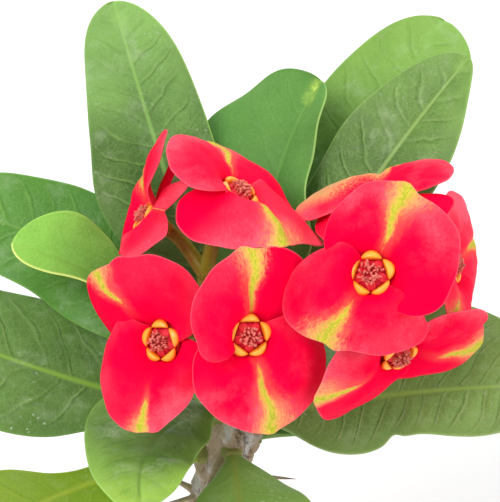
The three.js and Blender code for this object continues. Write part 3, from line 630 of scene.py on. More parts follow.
def make_bract_skin():
    """A bract's colour and relief. Streak holds the share of the way along the yellow-green streak,
    millimetres off it, and a seed. Spread holds how wide the streak and its fringe are there, and 1 on the
    upper face. Bract holds the share of the way out to the margin, the flush, which paints the light and
    shade on that half as more or less pink sheen and above 1 adds a tan margin, and how far the other bract
    covers it, which is painted as shade. Veil holds how pale it is all over."""
    labels = ("Streak", "Spread", "Bract", "Veil", "Place")
    tree, given, result = new_group("bract_skin", [(label, "vector") for label in labels], SKIN_RESULTS)
    run, off, seed = parts_of(given["Streak"])
    core, fringe, upper = parts_of(given["Spread"])
    share, flush, shade_under_other = parts_of(given["Bract"])
    veil = parts_of(given["Veil"])[0]
    upper = remap(upper, -0.2, 0.2)
    fan = calc("DIVIDE", off, scaled(calc("MAXIMUM", run, -0.4), 6.0, 5.0))
    place = given["Place"]

    def fibres(across, along, detail):
        """Noise drawn out along the veins, about 0."""
        spot = point(tree, times(fan, across), times(run, along), seed)
        return less(clouds(spot, 1.0, detail, 0.62), 0.5)
    broad, fine, hair = fibres(8.0, 3.6, 4.0), fibres(26.0, 10.0, 3.0), fibres(90.0, 12.0, 2.0)
    flecks = less(clouds(place, 1300.0, 3.0, 0.65), 0.5)
    away = calc("ABSOLUTE", off)

    def total(*pairs):
        """A weighted sum."""
        value = 0.0
        for part, weight in pairs:
            value = scaled(part, weight, value)
        return value

    opened = remap(total((fine, 0.8), (broad, 0.5), (run, 1.0)), -0.02, 0.26)
    late = remap(total((broad, 0.5), (run, 1.0)), -0.4, 0.3)
    flared = remap(run, 0.35, 0.85)
    ragged = total((calc("DIVIDE", away, core), 1.0), (broad, 1.6), (fine, 2.4), (hair, 1.0), (flecks, 1.6))
    strands = total((fine, 1.8), (hair, 1.4), (flecks, 1.8), (broad, 1.4))
    far = calc("DIVIDE", away, fringe)
    green = times(remap(ragged, 0.1, 0.9, 1.0, 0.0), opened)
    straw = times(remap(ragged, 0.6, 1.7, 1.0, 0.0), opened)
    tan = times(remap(total((far, 1.0), (strands, 0.8)), 0.35, 1.05, 1.0, 0.0), flared)
    salmon = times(remap(total((far, 1.0), (strands, 0.5)), 0.3, 1.3, 1.0, 0.0), late)
    around = times(remap(total((far, 1.0), (broad, 1.5)), 0.3, 1.9, 1.0, 0.0), remap(run, -0.3, 0.6))
    # The pink lift is partly the bract's own paler pink and partly painted sheen: paler on the margins, in
    # soft patches, round the streak and all over by the veil, scaled on each half by the flush, which paints
    # that half's light and shade, and taken away by painted shade where the other bract lies over it. fb586c
    # is the painted sheen's pink.
    soft = remap(scaled(flecks, 0.25, clouds(place, 130.0, 3.0, 0.55)), 0.42, 0.7)
    drift = less(clouds(place, 70.0, 2.0, 0.5), 0.5)
    rim = remap(total((share, 1.0), (drift, 1.1), (fine, 0.2)), 0.48, 1.04)
    pinked = times(remap(share, 0.2, 0.55), soft)
    lift = times(total((rim, 0.72), (pinked, 0.42)), calc("MINIMUM", flush, 1.0))
    lift = total((lift, 1.0), (around, 0.22), (veil, 1.0))
    lift = times(lift, less(1.0, shade_under_other, clamp=True))
    lift = times(lift, total((fine, 0.9), (hair, 0.7), (flecks, 0.5), (1.0, 1.0)), clamp=True)
    lift = calc("POWER", lift, 1.5)
    skin = paint(lift, colour("fb003b"), colour("fb586c"))
    # Painted shade: deeper red near the ring, in the bract's throat.
    skin = paint(remap(share, 0.04, 0.24, 0.35, 0.0), skin, colour("e0001c"))
    skin = paint(times(salmon, 0.6), skin, colour("f8604c"))
    skin = paint(times(tan, 0.85), skin, paint(remap(total((flecks, 1.0), (hair, 0.5)), -0.12, 0.12),
                                               colour("ee8260"), colour("e8b878")))
    skin = paint(times(straw, 0.85), skin, paint(remap(total((broad, 0.8), (flecks, 0.6)), -0.12, 0.12),
                                                 colour("e4a85c"), colour("e0c450")))
    skin = paint(times(green, 0.92), skin, paint(remap(total((flecks, 0.6), (fine, 1.0)), -0.14, 0.16),
                                                 colour("a8b42c"), colour("d2cc48")))
    hem = remap(total((share, 1.0), (fine, 0.6), (flecks, 0.6), (drift, 0.6)), 0.26, 0.64)
    hem = times(less(flush, 1.0, clamp=True), hem)
    skin = paint(hem, skin, paint(remap(flecks, -0.12, 0.12), colour("e89474"), colour("d8b46c")))
    # Painted highlight: a thin light pink line along the margin, where the rounded rim catches light.
    skin = paint(remap(share, 0.975, 1.0, 0.0, 0.35), skin, colour("ff7a8c"))
    back = paint(remap(fine, -0.15, 0.25, 0.1, 0.5), colour("ee1c46"), colour("f6586e"))
    back = paint(times(salmon, 0.7), back, colour("f28c72"))
    back = paint(calc("MAXIMUM", times(calc("MAXIMUM", straw, tan), 0.8), hem), back, colour("d8a068"))
    back = paint(times(green, 0.7), back, colour("b4ac4c"))
    skin = paint(upper, back, skin)
    tree.links.new(skin, result["Color"])
    tree.links.new(scaled(fine, 0.3, 0.5), result["Roughness"])
    tree.links.new(total((broad, 0.5), (hair, 0.35)), result["Height"])
    return tree


LEAF_SKIN = make_leaf_skin()
BRACT_SKIN = make_bract_skin()

# ------------------------------------------------------------------ materials

# deep and fresh are the blade's two greens, freshness how far the tip takes the second, and fresh_rim how far
# the margin does. pale is the painted highlight on the lit side of its veins and also the paler grain and
# vein net, and rib, margin and tip are those places' own colours. veining, ribbing and edging are how
# strongly veins, rib and margin show; veining also sets the painted shade along the veins. A pale edge runs
# along the left half where edge_side is 1, along the right half where it is -1, and along both where it isn't
# given.
# wet is how strongly the painted wavy reflection shows, and gloss is the roughness. specks also
# sets the pale patches that are partly waxy bloom and partly painted sheen.
TONES = {
    "meadow": dict(deep="4a8030", fresh="6c9e46", pale="86b468", rib="7eb058", margin="a4cc70",
                   tip="b4d458", veining=0.25, ribbing=0.3, edging=0.7, edge_side=-1, specks=0.15,
                   freshness=0.15, gloss=0.4),
    "young": dict(deep="3e681a", fresh="8ac64c", pale="a6d67a", rib="8cc25a", margin="dcec82", tip="98d05c",
                  veining=0.2, ribbing=0.2, edging=1.0, edge_side=1, specks=0.1, freshness=0.85,
                  gloss=0.36),
    "pale_tipped": dict(deep="355a20", fresh="84b05a", pale="8cb864", rib="90c060", margin="9cc858",
                        tip="90bc64", veining=1.0, ribbing=0.6, edging=0.8, edge_side=-1, specks=1.0,
                        freshness=0.75, gloss=0.42),
    "lit": dict(deep="4b7428", fresh="82ac4a", pale="92b864", rib="84b054", margin="8cb858", tip="8cb858",
                veining=0.8, ribbing=0.5, edging=0.4, specks=0.8, freshness=0.9, gloss=0.42),
    "deep": dict(deep="2e5616", fresh="82aa50", pale="94ba6c", rib="94b860", margin="98be64", tip="88b056",
                 veining=1.1, ribbing=0.7, edging=0.7, specks=1.0, freshness=0.55, gloss=0.36),
    "full": dict(deep="3f7622", fresh="6ca23c", pale="84b458", rib="7aa448", margin="88b850", tip="84b44c",
                 veining=0.9, ribbing=0.5, edging=0.5, specks=0.9, freshness=0.3, gloss=0.38),
    "mossy": dict(deep="4a6e2c", fresh="7aa04c", pale="92b268", rib="82aa3e", margin="88ac50", tip="88ac50",
                  veining=1.1, ribbing=0.9, edging=0.3, specks=0.9, freshness=0.3, gloss=0.38),
    "glossy": dict(deep="3a6222", fresh="98c450", pale="88b460", rib="587c2c", margin="a2c664",
                   tip="a4cc50", veining=0.5, ribbing=0.6, edging=0.5, specks=0.8, freshness=0.8,
                   fresh_rim=0.14, wet=0.24, gloss=0.2),
    "spring": dict(deep="688e3c", fresh="8eb054", pale="a0bc6c", rib="8c9c40", margin="a0bc60",
                   tip="a0bc60", veining=0.6, ribbing=0.6, edging=0.5, specks=0.7, freshness=0.5, wet=0.15,
                   gloss=0.3),
    "olive": dict(deep="607f38", fresh="8aa954", pale="a6ba7c", rib="94b452", margin="b4c884", tip="a8bc70",
                  veining=1.25, ribbing=0.7, edging=0.5, specks=0.6, freshness=0.3, gloss=0.4),
    "yellowing": dict(deep="66880e", fresh="88a212", pale="a8ba40", rib="9cac30", margin="b0bc40",
                      tip="b0bc40", veining=0.5, ribbing=0.6, edging=0.6, specks=0.4, freshness=0.5,
                      gloss=0.38),
}


def leaf_material(tone_name):
    tone = TONES[tone_name]
    material, tree, shader = new_material("leaf_" + tone_name, Specular_IOR_Level=0.3,
                                          Subsurface_Weight=0.08, Subsurface_Radius=(0.5, 1.0, 0.2),
                                          Subsurface_Scale=0.0015)
    values = {"Blade": reading(tree, "blade"), "Rim": reading(tree, "rim"), "Place": object_place(tree)}
    values.update((label, colour(tone[label.lower()])) for label in TONE_COLOURS)
    values.update((label, tone.get(label.lower().replace(" ", "_"), 0)) for label in TONE_NUMBERS)
    skin = place_group(tree, LEAF_SKIN, values)
    feed(tree, shader, skin["Color"], skin["Roughness"], skin["Height"], 0.00025, 0.7)
    return material


def bract_material():
    material, tree, shader = new_material("bract", Specular_IOR_Level=0.01, Subsurface_Weight=0.12,
                                          Subsurface_Radius=(1.0, 0.12, 0.12), Subsurface_Scale=0.0012)
    facts = {label: reading(tree, label.lower()) for label in ("Streak", "Spread", "Bract", "Veil")}
    skin = place_group(tree, BRACT_SKIN, {**facts, "Place": object_place(tree)})
    feed(tree, shader, skin["Color"], skin["Roughness"], skin["Height"], 0.0002, 0.5)
    return material


def grained_material(name, dark, light, scale, contrast, depth, rough=0.5, **shader_values):
    """Two colours mixed by grain, with the grain as relief."""
    material, tree, shader = new_material(name, Roughness=rough, **shader_values)
    grain = place_group(tree, GRAIN, {"Vector": object_place(tree), "Scale": scale, "Contrast": contrast})
    feed(tree, shader, paint(grain["Mask"], colour(dark), colour(light)), None, grain["Height"], depth)
    return material


def gland_material():
    """Orange wax, paler on top as a painted highlight, darker orange outside and redder at the foot as
    painted shade. Reads the share of the height from its own mesh.
    """
    material, tree, shader = new_material("gland", Roughness=0.3, Specular_IOR_Level=0.5,
                                          Subsurface_Weight=0.15, Subsurface_Radius=(1.0, 0.4, 0.1),
                                          Subsurface_Scale=0.0008)
    height, outwards, _ = parts_of(reading(tree, "gland"))
    waxy = remap(clouds(object_place(tree), 500.0, 3.0), 0.35, 0.7)
    skin = paint(waxy, colour("f7820c"), colour("fb9c24"))
    # Painted highlight on top, painted shade on the outer side and in the recess at the foot.
    skin = paint(times(remap(height, 0.6, 0.98), 0.85), skin, colour("ffb63c"))
    skin = paint(remap(outwards, 0.35, 1.0, 0.0, 0.75), skin, colour("f55c06"))
    skin = paint(remap(height, 0.1, 0.5, 1.0, 0.0), skin, colour("d02c0c"))
    feed(tree, shader, skin, None, clouds(object_place(tree), 1800.0, 2.0), 0.0001, 0.5)
    return material


def bark_material():
    """Grey-brown bark: paler ridges, dark cracks, pale lenticels and a greenish flush towards the top."""
    material, tree, shader = new_material("bark", Roughness=0.78, Specular_IOR_Level=0.3)
    place = object_place(tree)
    stretched = put(tree, "ShaderNodeMapping", {"Vector": place, "Scale": (1.0, 1.0, 0.35)}).outputs[0]
    grain = place_group(tree, GRAIN, {"Vector": stretched, "Scale": 260.0, "Contrast": 2.6})
    skin = paint(grain["Mask"], colour("7c6850"), colour("b4a086"))
    brown = remap(clouds(place, 60.0, 3.0), 0.48, 0.62)
    skin = paint(times(brown, 0.55), skin, colour("6c4c32"))
    worn = remap(clouds(place, 95.0, 3.0), 0.5, 0.62)
    skin = paint(times(worn, 0.75), skin, colour("bab8b4"))
    folds = calc("ABSOLUTE", less(clouds(stretched, 150.0, 5.0, 0.6), 0.5))
    cracks = times(remap(folds, 0.0, 0.02, 1.0, 0.0), remap(clouds(place, 120.0, 2.0), 0.42, 0.6))
    skin = paint(times(cracks, 0.55), skin, colour("4a3c30"))
    dots = remap(clouds(place, 700.0, 1.0), 0.68, 0.74)
    skin = paint(times(dots, 0.7), skin, colour("d6c7ac"))
    up = remap(parts_of(place)[2], 0.212, 0.24, 0.0, 0.65)
    skin = paint(up, skin, colour("6d7a34"))
    height = less(grain["Height"], times(cracks, 0.5))
    feed(tree, shader, skin, None, height, 0.0009)
    return material


def spine_material():
    """Grey-beige corky thorns with a dark sharp end. Reads the share of the length from its own mesh."""
    material, tree, shader = new_material("spine", Roughness=0.6, Specular_IOR_Level=0.35)
    share = parts_of(reading(tree, "thorn"))[0]
    grain = place_group(tree, GRAIN, {"Vector": object_place(tree), "Scale": 500.0, "Contrast": 2.0})
    skin = paint(grain["Mask"], colour("8f7d66"), colour("c9b99b"))
    skin = paint(remap(share, 0.55, 1.0), skin, colour("5a4534"))
    skin = paint(remap(share, 0.0, 0.3, 0.7, 0.0), skin, colour("a08c6f"))
    feed(tree, shader, skin, None, grain["Height"], 0.0003)
    return material


def stalk_material():
    """Smooth olive-green skin with a red-brown flush and fine lengthways lines."""
    material, tree, shader = new_material("stalk", Specular_IOR_Level=0.4, Subsurface_Weight=0.1,
                                          Subsurface_Radius=(0.8, 0.7, 0.2), Subsurface_Scale=0.001)
    place = object_place(tree)
    flush = remap(clouds(place, 90.0, 3.0), 0.38, 0.68)
    skin = paint(flush, colour("8f8a1e"), colour("9a5a1c"))
    fine = clouds(place, 900.0, 3.0)
    skin = paint(remap(fine, 0.4, 0.75, 0.0, 0.3), skin, colour("b8ae3c"))
    feed(tree, shader, skin, remap(fine, 0.3, 0.7, 0.36, 0.5), fine, 0.0002, 0.6)
    return material


def cup_material():
    """Olive-yellow outside, mottled with orange, and red where it opens into the ring."""
    material, tree, shader = new_material("cup", Specular_IOR_Level=0.35, Roughness=0.45,
                                          Subsurface_Weight=0.1, Subsurface_Radius=(0.8, 0.6, 0.2),
                                          Subsurface_Scale=0.001)
    place = object_place(tree)
    up = parts_of(reading(tree, "cup"))[0]
    skin = paint(remap(clouds(place, 160.0, 4.0), 0.38, 0.66), colour("b8a81c"), colour("c06a1c"))
    skin = paint(remap(clouds(place, 900.0, 2.0), 0.5, 0.75, 0.0, 0.4), skin, colour("d8cc50"))
    skin = paint(remap(up, 0.8, 0.98), skin, colour("d01024"))
    feed(tree, shader, skin, None, clouds(place, 700.0, 3.0), 0.0002, 0.6)
    return material


def clay_material():
    """Unglazed clay: throwing lines, pale mineral bloom low down and on the rim, darker damp patches."""
    material, tree, shader = new_material("clay", Specular_IOR_Level=0.25)
    place = object_place(tree)
    z = parts_of(place)[2]
    grain = place_group(tree, GRAIN, {"Vector": place, "Scale": 420.0, "Contrast": 1.8})
    skin = paint(grain["Mask"], colour("a65a36"), colour("c47a52"))
    broad = clouds(place, 22.0, 4.0, 0.6)
    skin = paint(remap(broad, 0.4, 0.7, 0.0, 0.5), skin, colour("b86a45"))
    damp = times(remap(broad, 0.35, 0.6), remap(z, 0.01, 0.07, 0.55, 0.0))
    skin = paint(damp, skin, colour("8a4a2e"))
    low = remap(z, 0.002, 0.03, 1.0, 0.0)
    high = times(remap(z, 0.078, 0.088), 0.6)
    salts = times(calc("MAXIMUM", low, high), remap(clouds(place, 70.0, 5.0, 0.7), 0.48, 0.72))
    skin = paint(times(salts, 0.75), skin, colour("d9c2ae"))
    turning = put(tree, "ShaderNodeMapping", {"Vector": place, "Scale": (0.06, 0.06, 1.0)}).outputs[0]
    throws = clouds(turning, 520.0, 3.0, 0.5)
    height = calc("ADD", times(throws, 0.6), times(grain["Height"], 0.5))
    feed(tree, shader, skin, scaled(grain["Mask"], 0.12, 0.78), height, 0.0006)
    return material


def floor_material():
    material, tree, shader = new_material("pale_floor", Roughness=0.9, Specular_IOR_Level=0.1)
    tint = paint(clouds(object_place(tree), 3.0, 2.0), (0.9, 0.9, 0.9, 1.0), (0.93, 0.93, 0.93, 1.0))
    feed(tree, shader, tint)
    return material


LEAF_MATERIALS = {tone: leaf_material(tone) for tone in TONES}
BRACT = bract_material()
GLAND_WAX = gland_material()
BARK = bark_material()
THORN = spine_material()
GREEN_STALK = stalk_material()
LEAF_FOOT = grained_material("leaf_foot", "5c6a2c", "94924e", 420.0, 2.4, 0.0004, 0.6,
                             Specular_IOR_Level=0.3)
CUP_SKIN = cup_material()
CLAY = clay_material()
DOME = grained_material("tuft_floor", "c00a26", "e82440", 1200.0, 2.0, 0.0003, Specular_IOR_Level=0.2)
LOBE = grained_material("tuft_lobes", "e8102c", "f8404c", 900.0, 1.6, 0.0002, Specular_IOR_Level=0.3,
                        Subsurface_Weight=0.1)
FILAMENT = grained_material("stamens", "cc3c40", "ee9480", 700.0, 2.4, 0.0002, Specular_IOR_Level=0.3)
EARTH = grained_material("potting_soil", "1e140d", "4a3524", 300.0, 2.2, 0.0015, 0.95,
                         Specular_IOR_Level=0.2)
CRUMB = grained_material("soil_crumbs", "2a1c12", "634831", 500.0, 2.4, 0.0006, 0.95,
                         Specular_IOR_Level=0.2)
GRIT = grained_material("pale_grit", "a89e8d", "e2dccf", 600.0, 2.0, 0.0004, 0.85, Specular_IOR_Level=0.3)


# ------------------------------------------------------------------ stem

def stem_at(height):
    """The stem's centre and radius at a height."""
    k = 0
    while k < len(STEM_LINE) - 2 and STEM_LINE[k + 1][0][2] < height:
        k += 1
    points = [Vector(STEM_LINE[min(max(i, 0), len(STEM_LINE) - 1)][0]) for i in range(k - 1, k + 3)]
    before, low, high, after = points
    span = high.z - low.z
    t = (height - low.z) / span

    def slope(a, b):
        return (b - a) * (span / (b.z - a.z))
    leave, arrive = slope(before, high), slope(low, after)
    centre = (low * (2 * t ** 3 - 3 * t * t + 1) + leave * (t ** 3 - 2 * t * t + t)
              + high * (3 * t * t - 2 * t ** 3) + arrive * (t ** 3 - t * t))
    centre.z = height
    return centre, between(STEM_LINE[k][1], STEM_LINE[k + 1][1], t)


def root_outside(height, azimuth, pitch):
    """Where a petiole or a stalk starts, just outside the stem."""
    centre, radius = stem_at(height)
    return centre + towards(azimuth, pitch) * (radius / math.cos(pitch * DEG) + 2)


def bark_radius(height, angle, radius):
    """The stem's skin: low twisted ribs, spiral ridges and a gnarled surface, smooth again at the top."""
    shown = ease(90, 98, height)
    ribs = 0.5 * math.cos(5 * (angle + height * 0.055)) + 0.35 * math.sin(height * 0.9 + angle * 2)
    spot = Vector((math.cos(angle) * 6, math.sin(angle) * 6, height * 0.55))
    gnarl = noise.fractal(spot * 0.22, 0.9, 2.1, 4) * 0.9 + noise.noise(spot * 1.3) * 0.22
    return radius + shown * (ribs + gnarl) * ease(246, 226, height)


def stem_body():
    bottom, top, tip_start = 86.0, 243.5, 238.5
    count, sides = 230, 72

    def place(turn, along):
        height = between(bottom, top, along)
        centre, radius = stem_at(min(height, 242))
        centre.z = height
        angle = turn * FULL_TURN
        past = max(height - tip_start, 0) / (top - tip_start)
        closing = math.sqrt(max(1 - past ** 2, 0))
        reach = bark_radius(height, angle, radius) * closing
        return centre + Vector((math.cos(angle), math.sin(angle), 0)) * reach
    return wrapped(sides, count, place)


def leaf_base(height, azimuth, pitch, radius):
    """The swollen base that a petiole or a stalk grows from."""
    root = root_outside(height, azimuth, pitch)
    direction = towards(azimuth, pitch)
    start = root - direction * 6.5

    def skin(share, angle):
        swell = between(radius * 1.5, radius * 0.98, ease(0, 0.85, share))
        closing = math.sqrt(max(1 - ease(0.9, 1.02, share), 0.02))
        return swell * (1 + 0.05 * math.sin(3 * angle + height)) * closing
    return tube(lambda t: start + direction * (6.9 * t), 14, 20, skin)


def thorn(root, direction, length, radius, droop):
    """A spine with a broad corky foot, a slight bend and a sharp tip."""
    tip = root + direction * length + Vector((0, 0, -droop * length))
    path = bend(root, direction, tip, (tip - root).normalized())
    body = tube(path, 16, 10, lambda share, angle: max(radius * (1 - share) ** 0.8
                                                       * (1 + 1.1 * math.exp(-share * 12)), 0.06))
    mark(body, "thorn", lambda spot: ((spot - root).length / length, 0, 0))
    return body


def stem_spines():
    """Pairs of spines that flank the leaf scars, two near the top, and smaller ones all the way up."""
    draw = seeded_draw(7)
    made = bmesh.new()
    for i in range(SPINE["pairs"]):
        height = between(SPINE["first"], SPINE["last"], i / (SPINE["pairs"] - 1))
        scar = i * GOLDEN_ANGLE + 20
        for side in (-1, 1):
            azimuth = scar + side * SPINE["spread"] + 10 * (draw() - 0.5)
            rise = 4 + 20 * draw()
            length = SPINE["length"] * (0.75 + 0.4 * draw())
            centre, radius = stem_at(height + 2 * side)
            direction = towards(azimuth, rise)
            root = centre + direction * (radius - 2)
            add(made, thorn(root, direction, length + 2, SPINE["radius"], 0.02))
    for height, azimuth, rise, length, radius in ((206, 251, 2, 15, 2.1), (203, 296, -4, 9, 2.3)):
        centre, around = stem_at(height)
        direction = towards(azimuth, rise)
        add(made, thorn(centre + direction * (around - 2), direction, length, radius, 0.03))
    small = random.Random(11)
    for i in range(26):
        height = between(97, 196, i / 25) + small.uniform(-2, 2)
        azimuth = i * 99.5 + small.uniform(-20, 20)
        centre, radius = stem_at(height)
        direction = towards(azimuth, small.uniform(-5, 25))
        add(made, thorn(centre + direction * (radius - 1.5), direction, small.uniform(4, 7.5), 0.8, 0.03))
    return made


def build_stem():
    whole = bmesh.new()
    add(whole, stem_body())
    for leaf in LEAVES:
        add(whole, leaf_base(leaf["height"], leaf["azimuth"][0], leaf["pitch"][0], 2.7), 2)
    for stalk in STALKS:
        add(whole, leaf_base(stalk["height"], stalk["azimuth"], stalk["pitch"], 2.9), 1)
    finish_piece("stem_bark", whole, [BARK, GREEN_STALK, LEAF_FOOT], "bark", "stem")
    finish_piece("stem_thorns", stem_spines(), [THORN], "bark", "stem")


# ------------------------------------------------------------------ leaves

def blade_share(s, widest, blunt):
    """The blade's half width as a share of its broadest: a narrow petiole, a long wedge and a blunt tip."""
    if s > widest:
        return math.sqrt(max(1 - ((s - widest) / (1 - widest)) ** blunt, 0))
    return math.sin(math.pi / 2 * ease(-0.25, 1, s / widest) ** 1.1)


def build_leaf(leaf):
    steps = 32
    length, width = leaf["length"], leaf["width"]
    start = -1.4 / length
    line = [root_outside(leaf["height"], leaf["azimuth"][0], leaf["pitch"][0])]
    for i in range(steps):
        middle = (i + 0.5) / steps
        heading = towards(between(*leaf["azimuth"], middle), between(*leaf["pitch"], middle))
        line.append(line[i] + heading * (length / steps))

    def share_along(w):
        return start + (1 - start) * (1 - (1 - w) ** 1.9)

    def share_across(u):
        q = 2 * u - 1
        return between(q, math.sin(math.pi / 2 * q), 0.75)

    notch_place, notch_depth, notch_size = leaf["notch"]
    seed = leaf["height"] * 0.37

    def half_width(s, a):
        least = 1.8 if s < 0.5 else 0
        fit = smooth_between(leaf["left"] if a > 0 else leaf["right"], (s - FIRST_WIDTH) / WIDTH_STEP)
        if a < 0:
            fit -= notch_depth * math.exp(-((s - notch_place) / notch_size) ** 2)
        return max(width / 2 * blade_share(max(s, 0), leaf["widest"], leaf["blunt"]) * fit, least)

    def vein_number(s, a):
        """Whole numbers lie on a side vein. The two halves of the blade are half a vein apart."""
        side = half_width(s, a) * abs(a)
        lean = leaf["lean"] if a > 0 else leaf.get("lean_right", leaf["lean"])
        run = s * length - lean * side - math.copysign(0.22 * abs(a) ** 3 * side, lean)
        return run / leaf["spacing"] + (0.5 if a > 0 else 0) + 0.12 * math.sin(s * length * 0.31 + 2 * a)

    def surface(u, w):
        s, a = share_along(w), -share_across(u)
        place = min(max(int(s * steps), 0), steps - 1)
        rib = line[place].lerp(line[place + 1], s * steps - place)
        azimuth = between(*leaf["azimuth"], s)
        along = towards(azimuth, between(*leaf["pitch"], s))
        level = towards(azimuth + 90, 0)
        upward = along.cross(level)
        roll = leaf["roll"] * DEG * ease(0, 0.35, s)
        side = level * math.cos(roll) + upward * math.sin(roll)
        normal = upward * math.cos(roll) - level * math.sin(roll)
        half = half_width(s, a)
        rib = rib + side * (leaf["bow"] * length * max(s, 0) ** 2)
        opened = ease(0.02, 0.3, s)
        rise = half * opened * (leaf["fold"] * (math.hypot(a, 0.06) - 0.06) - leaf["curl"] * a * a)
        wave = width * leaf["ripple"] * opened * a * a * math.sin(19 * s + (1 if a > 0 else 3.4))
        vein = vein_number(s, a)
        near = abs(vein % 1 - 0.5) * 2
        shown = 0.55 + 0.9 * noise.noise(Vector((round(vein) * 1.7, a * 2.4, seed)))
        shown = min(max(shown, 0), 1)
        quilt = leaf["relief"] * opened * (1 - abs(a) ** 3) * ease(0.04, 0.22, abs(a)) * shown
        dents = 0.2 * quilt * (math.cos(math.pi * near) - 0.8 * math.exp(-((1 - near) / 0.28) ** 2))
        groove = -0.3 * opened * math.exp(-(half * a / 0.9) ** 2)
        return rib + side * (half * a) + normal * (rise + wave + dents + groove)

    def stand(u, w):
        s, a = share_along(w), share_across(u)
        to_rim = half_width(s, -a) * (1 - abs(a))
        to_rim = min(to_rim, (1 - s) * length * 0.8)
        round_rim = math.sqrt(max(1 - (1 - min(to_rim / 0.7, 1)) ** 2, 0))
        petiole = 1.25 * (1 - ease(0.03, 0.3, s)) * math.sqrt(max(1 - a * a, 0))
        keel = between(1.3, 0.25, ease(0, 0.9, s)) * math.exp(-(half_width(s, -a) * a / 1.3) ** 2)
        under = 0.26 + keel * ease(0.1, 0.3, s)
        return 0.26 * round_rim + petiole + 0.03, under * round_rim + petiole + 0.03

    def facts(u, w):
        s, a = share_along(w), -share_across(u)
        half = half_width(s, a)
        to_rim = min(half * (1 - abs(a)), (1 - s) * length * 1.2)
        return {"blade": (half * a, s, vein_number(s, a)), "rim": (to_rim, s * length, 1)}

    return thin_sheet(*LEAF_GRID, surface, stand, facts)


# ------------------------------------------------------------------ blooms

def bloom_axes(bloom):
    facing = towards(*bloom["facing"])
    head_up = towards(90, HEAD_SLOPE)
    up = (head_up - facing * head_up.dot(facing)).normalized()
    return facing, up, up.cross(facing)


def onto_bloom(part, bloom):
    """Places a part made round +Z on a bloom, with +Z along its facing."""
    facing, up, right = bloom_axes(bloom)
    turn = Matrix((right, up, facing)).transposed().to_4x4() @ Matrix.Scale(bloom["size"], 4)
    bmesh.ops.transform(part, matrix=Matrix.Translation(Vector(bloom["centre"])) @ turn, verts=part.verts)
    return part


def along_margin(margin, theta):
    """The margin's distance at an angle, smoothly between the given ones."""
    return smooth_between(margin, (theta / DEG - FIRST_MARGIN) / MARGIN_STEP)


def build_bract(bloom, bract, seed):
    facing, up, right = bloom_axes(bloom)
    turn = bract["turn"] * DEG
    midline = up * math.cos(turn) + right * math.sin(turn)
    sideways = facing.cross(midline)
    centre, size = Vector(bloom["centre"]), bloom["size"]
    start, wide, *fringes = bract["streak"]
    line = bract.get("line", bract["skew"]) * DEG
    tip_reach = along_margin(bract["margin"], line) + 1

    def flat(u, w):
        """Where a point of the bract lies: its half, how far round and out it is, its angle and radius."""
        swing, share = 1 - 2 * u, 1 - (1 - w) ** 1.35
        swing = between(swing, math.sin(math.pi / 2 * swing), 0.25)
        half = 0 if swing > 0 else 1
        theta = swing * DEG * between(94, bract["reach"][half], ease(0.2, 0.75, share))
        rounded = math.sqrt(max(1 - abs(swing) ** 9, 0))
        tip = 1.1 * math.exp(-(((theta / DEG - bract["skew"]) / 6) ** 2))
        ruffle = 0.2 * math.sin(theta * 7 + seed * 3.1) + 0.1 * math.sin(theta * 15 + seed * 5.3)
        outline = (along_margin(bract["margin"], theta) + ruffle) * rounded + tip
        return half, swing, share, theta, between(BRACT_INNER, max(outline, 4.5), share)

    def surface(u, w):
        half, swing, share, theta, r = flat(u, w)
        x, y = r * math.cos(theta), r * math.sin(theta)
        ahead, middle = max(x, 0), math.cos(theta / 2) ** 2
        height = (5.9 * (1 - math.exp(-(((r - BRACT_INNER) / 2.9) ** 2))) - 5.9 * 0.76 - bract["dome"]
                  * (r / 20) ** 2 + bract["fold"][half] * (math.hypot(y, 3) - 3) * ease(4, 11, r)
                  + math.tan(bract["lift"] * DEG) * (ahead * ahead / (ahead + 6)) * ease(4, 11, r)
                  + bract["over"][half] * abs(swing) ** 1.2 * ease(2.5, 8, r) - 2.2 * ease(0.62, 1, share)
                  * middle - 1.0 * math.exp(-((y / 1.5) ** 2)) * ease(5, 12, r) + bract["collar"][half]
                  * (0.4 + 0.6 * abs(math.sin(theta)) ** 0.5) * ease(2.3, 4.8, r) * (1 - ease(6, 20, r)))
        fan = noise.noise(Vector((theta * 5.5, r * 0.06, seed * 7.7))) * 0.3 * ease(6, 14, r)
        soft = noise.noise(Vector((x * 0.11, y * 0.11, seed * 3.3))) * 0.6 * ease(6, 16, r)
        return centre + (midline * x + sideways * y + facing * (height + fan + soft)) * size

    def stand(u, w):
        _, swing, share, _, r = flat(u, w)
        to_rim = min(r / max(share, 0.05) * (1 - share), (1 - abs(swing)) * r * 1.9)
        round_rim = math.sqrt(max(1 - (1 - min(to_rim / 0.6, 1)) ** 2, 0))
        return 0.2 * round_rim + 0.03, 0.2 * round_rim + 0.03

    def facts(u, w):
        half, _, share, theta, r = flat(u, w)
        aim = theta - line
        along, off = r * math.cos(aim), r * math.sin(aim)
        off += 0.5 * math.sin(along * 0.5 + seed * 2) * ease(4, 12, along)
        run = (along - start) / (tip_reach - start)
        flare = max(run, 0)
        core = wide * (0.3 + 0.95 * flare ** 1.7)
        side = between(fringes[1], fringes[0], ease(-1.5, 1.5, off))
        away = abs(theta / DEG)
        # The flush paints each half's light and shade as more or less pink sheen; above 1 it also gives a tan
        # margin.
        flush = between(bract["flush"][1], bract["flush"][0], ease(-0.8, 0.8, off))
        flush = min(flush, 1) + max(flush - 1, 0) * (1 - ease(60, 95, away))
        # Painted shade where the other bract lies over this lobe.
        shade_under_other = ease(42, 80, away) if bract["over"][half] < 0 else 0
        return {"streak": (run, off, seed), "spread": (core, core + side * (0.25 + 0.75 * flare ** 1.4), 1),
                "bract": (share, flush, shade_under_other), "veil": (bract["veil"], 0, 1)}

    return thin_sheet(*BRACT_GRID, surface, stand, facts)


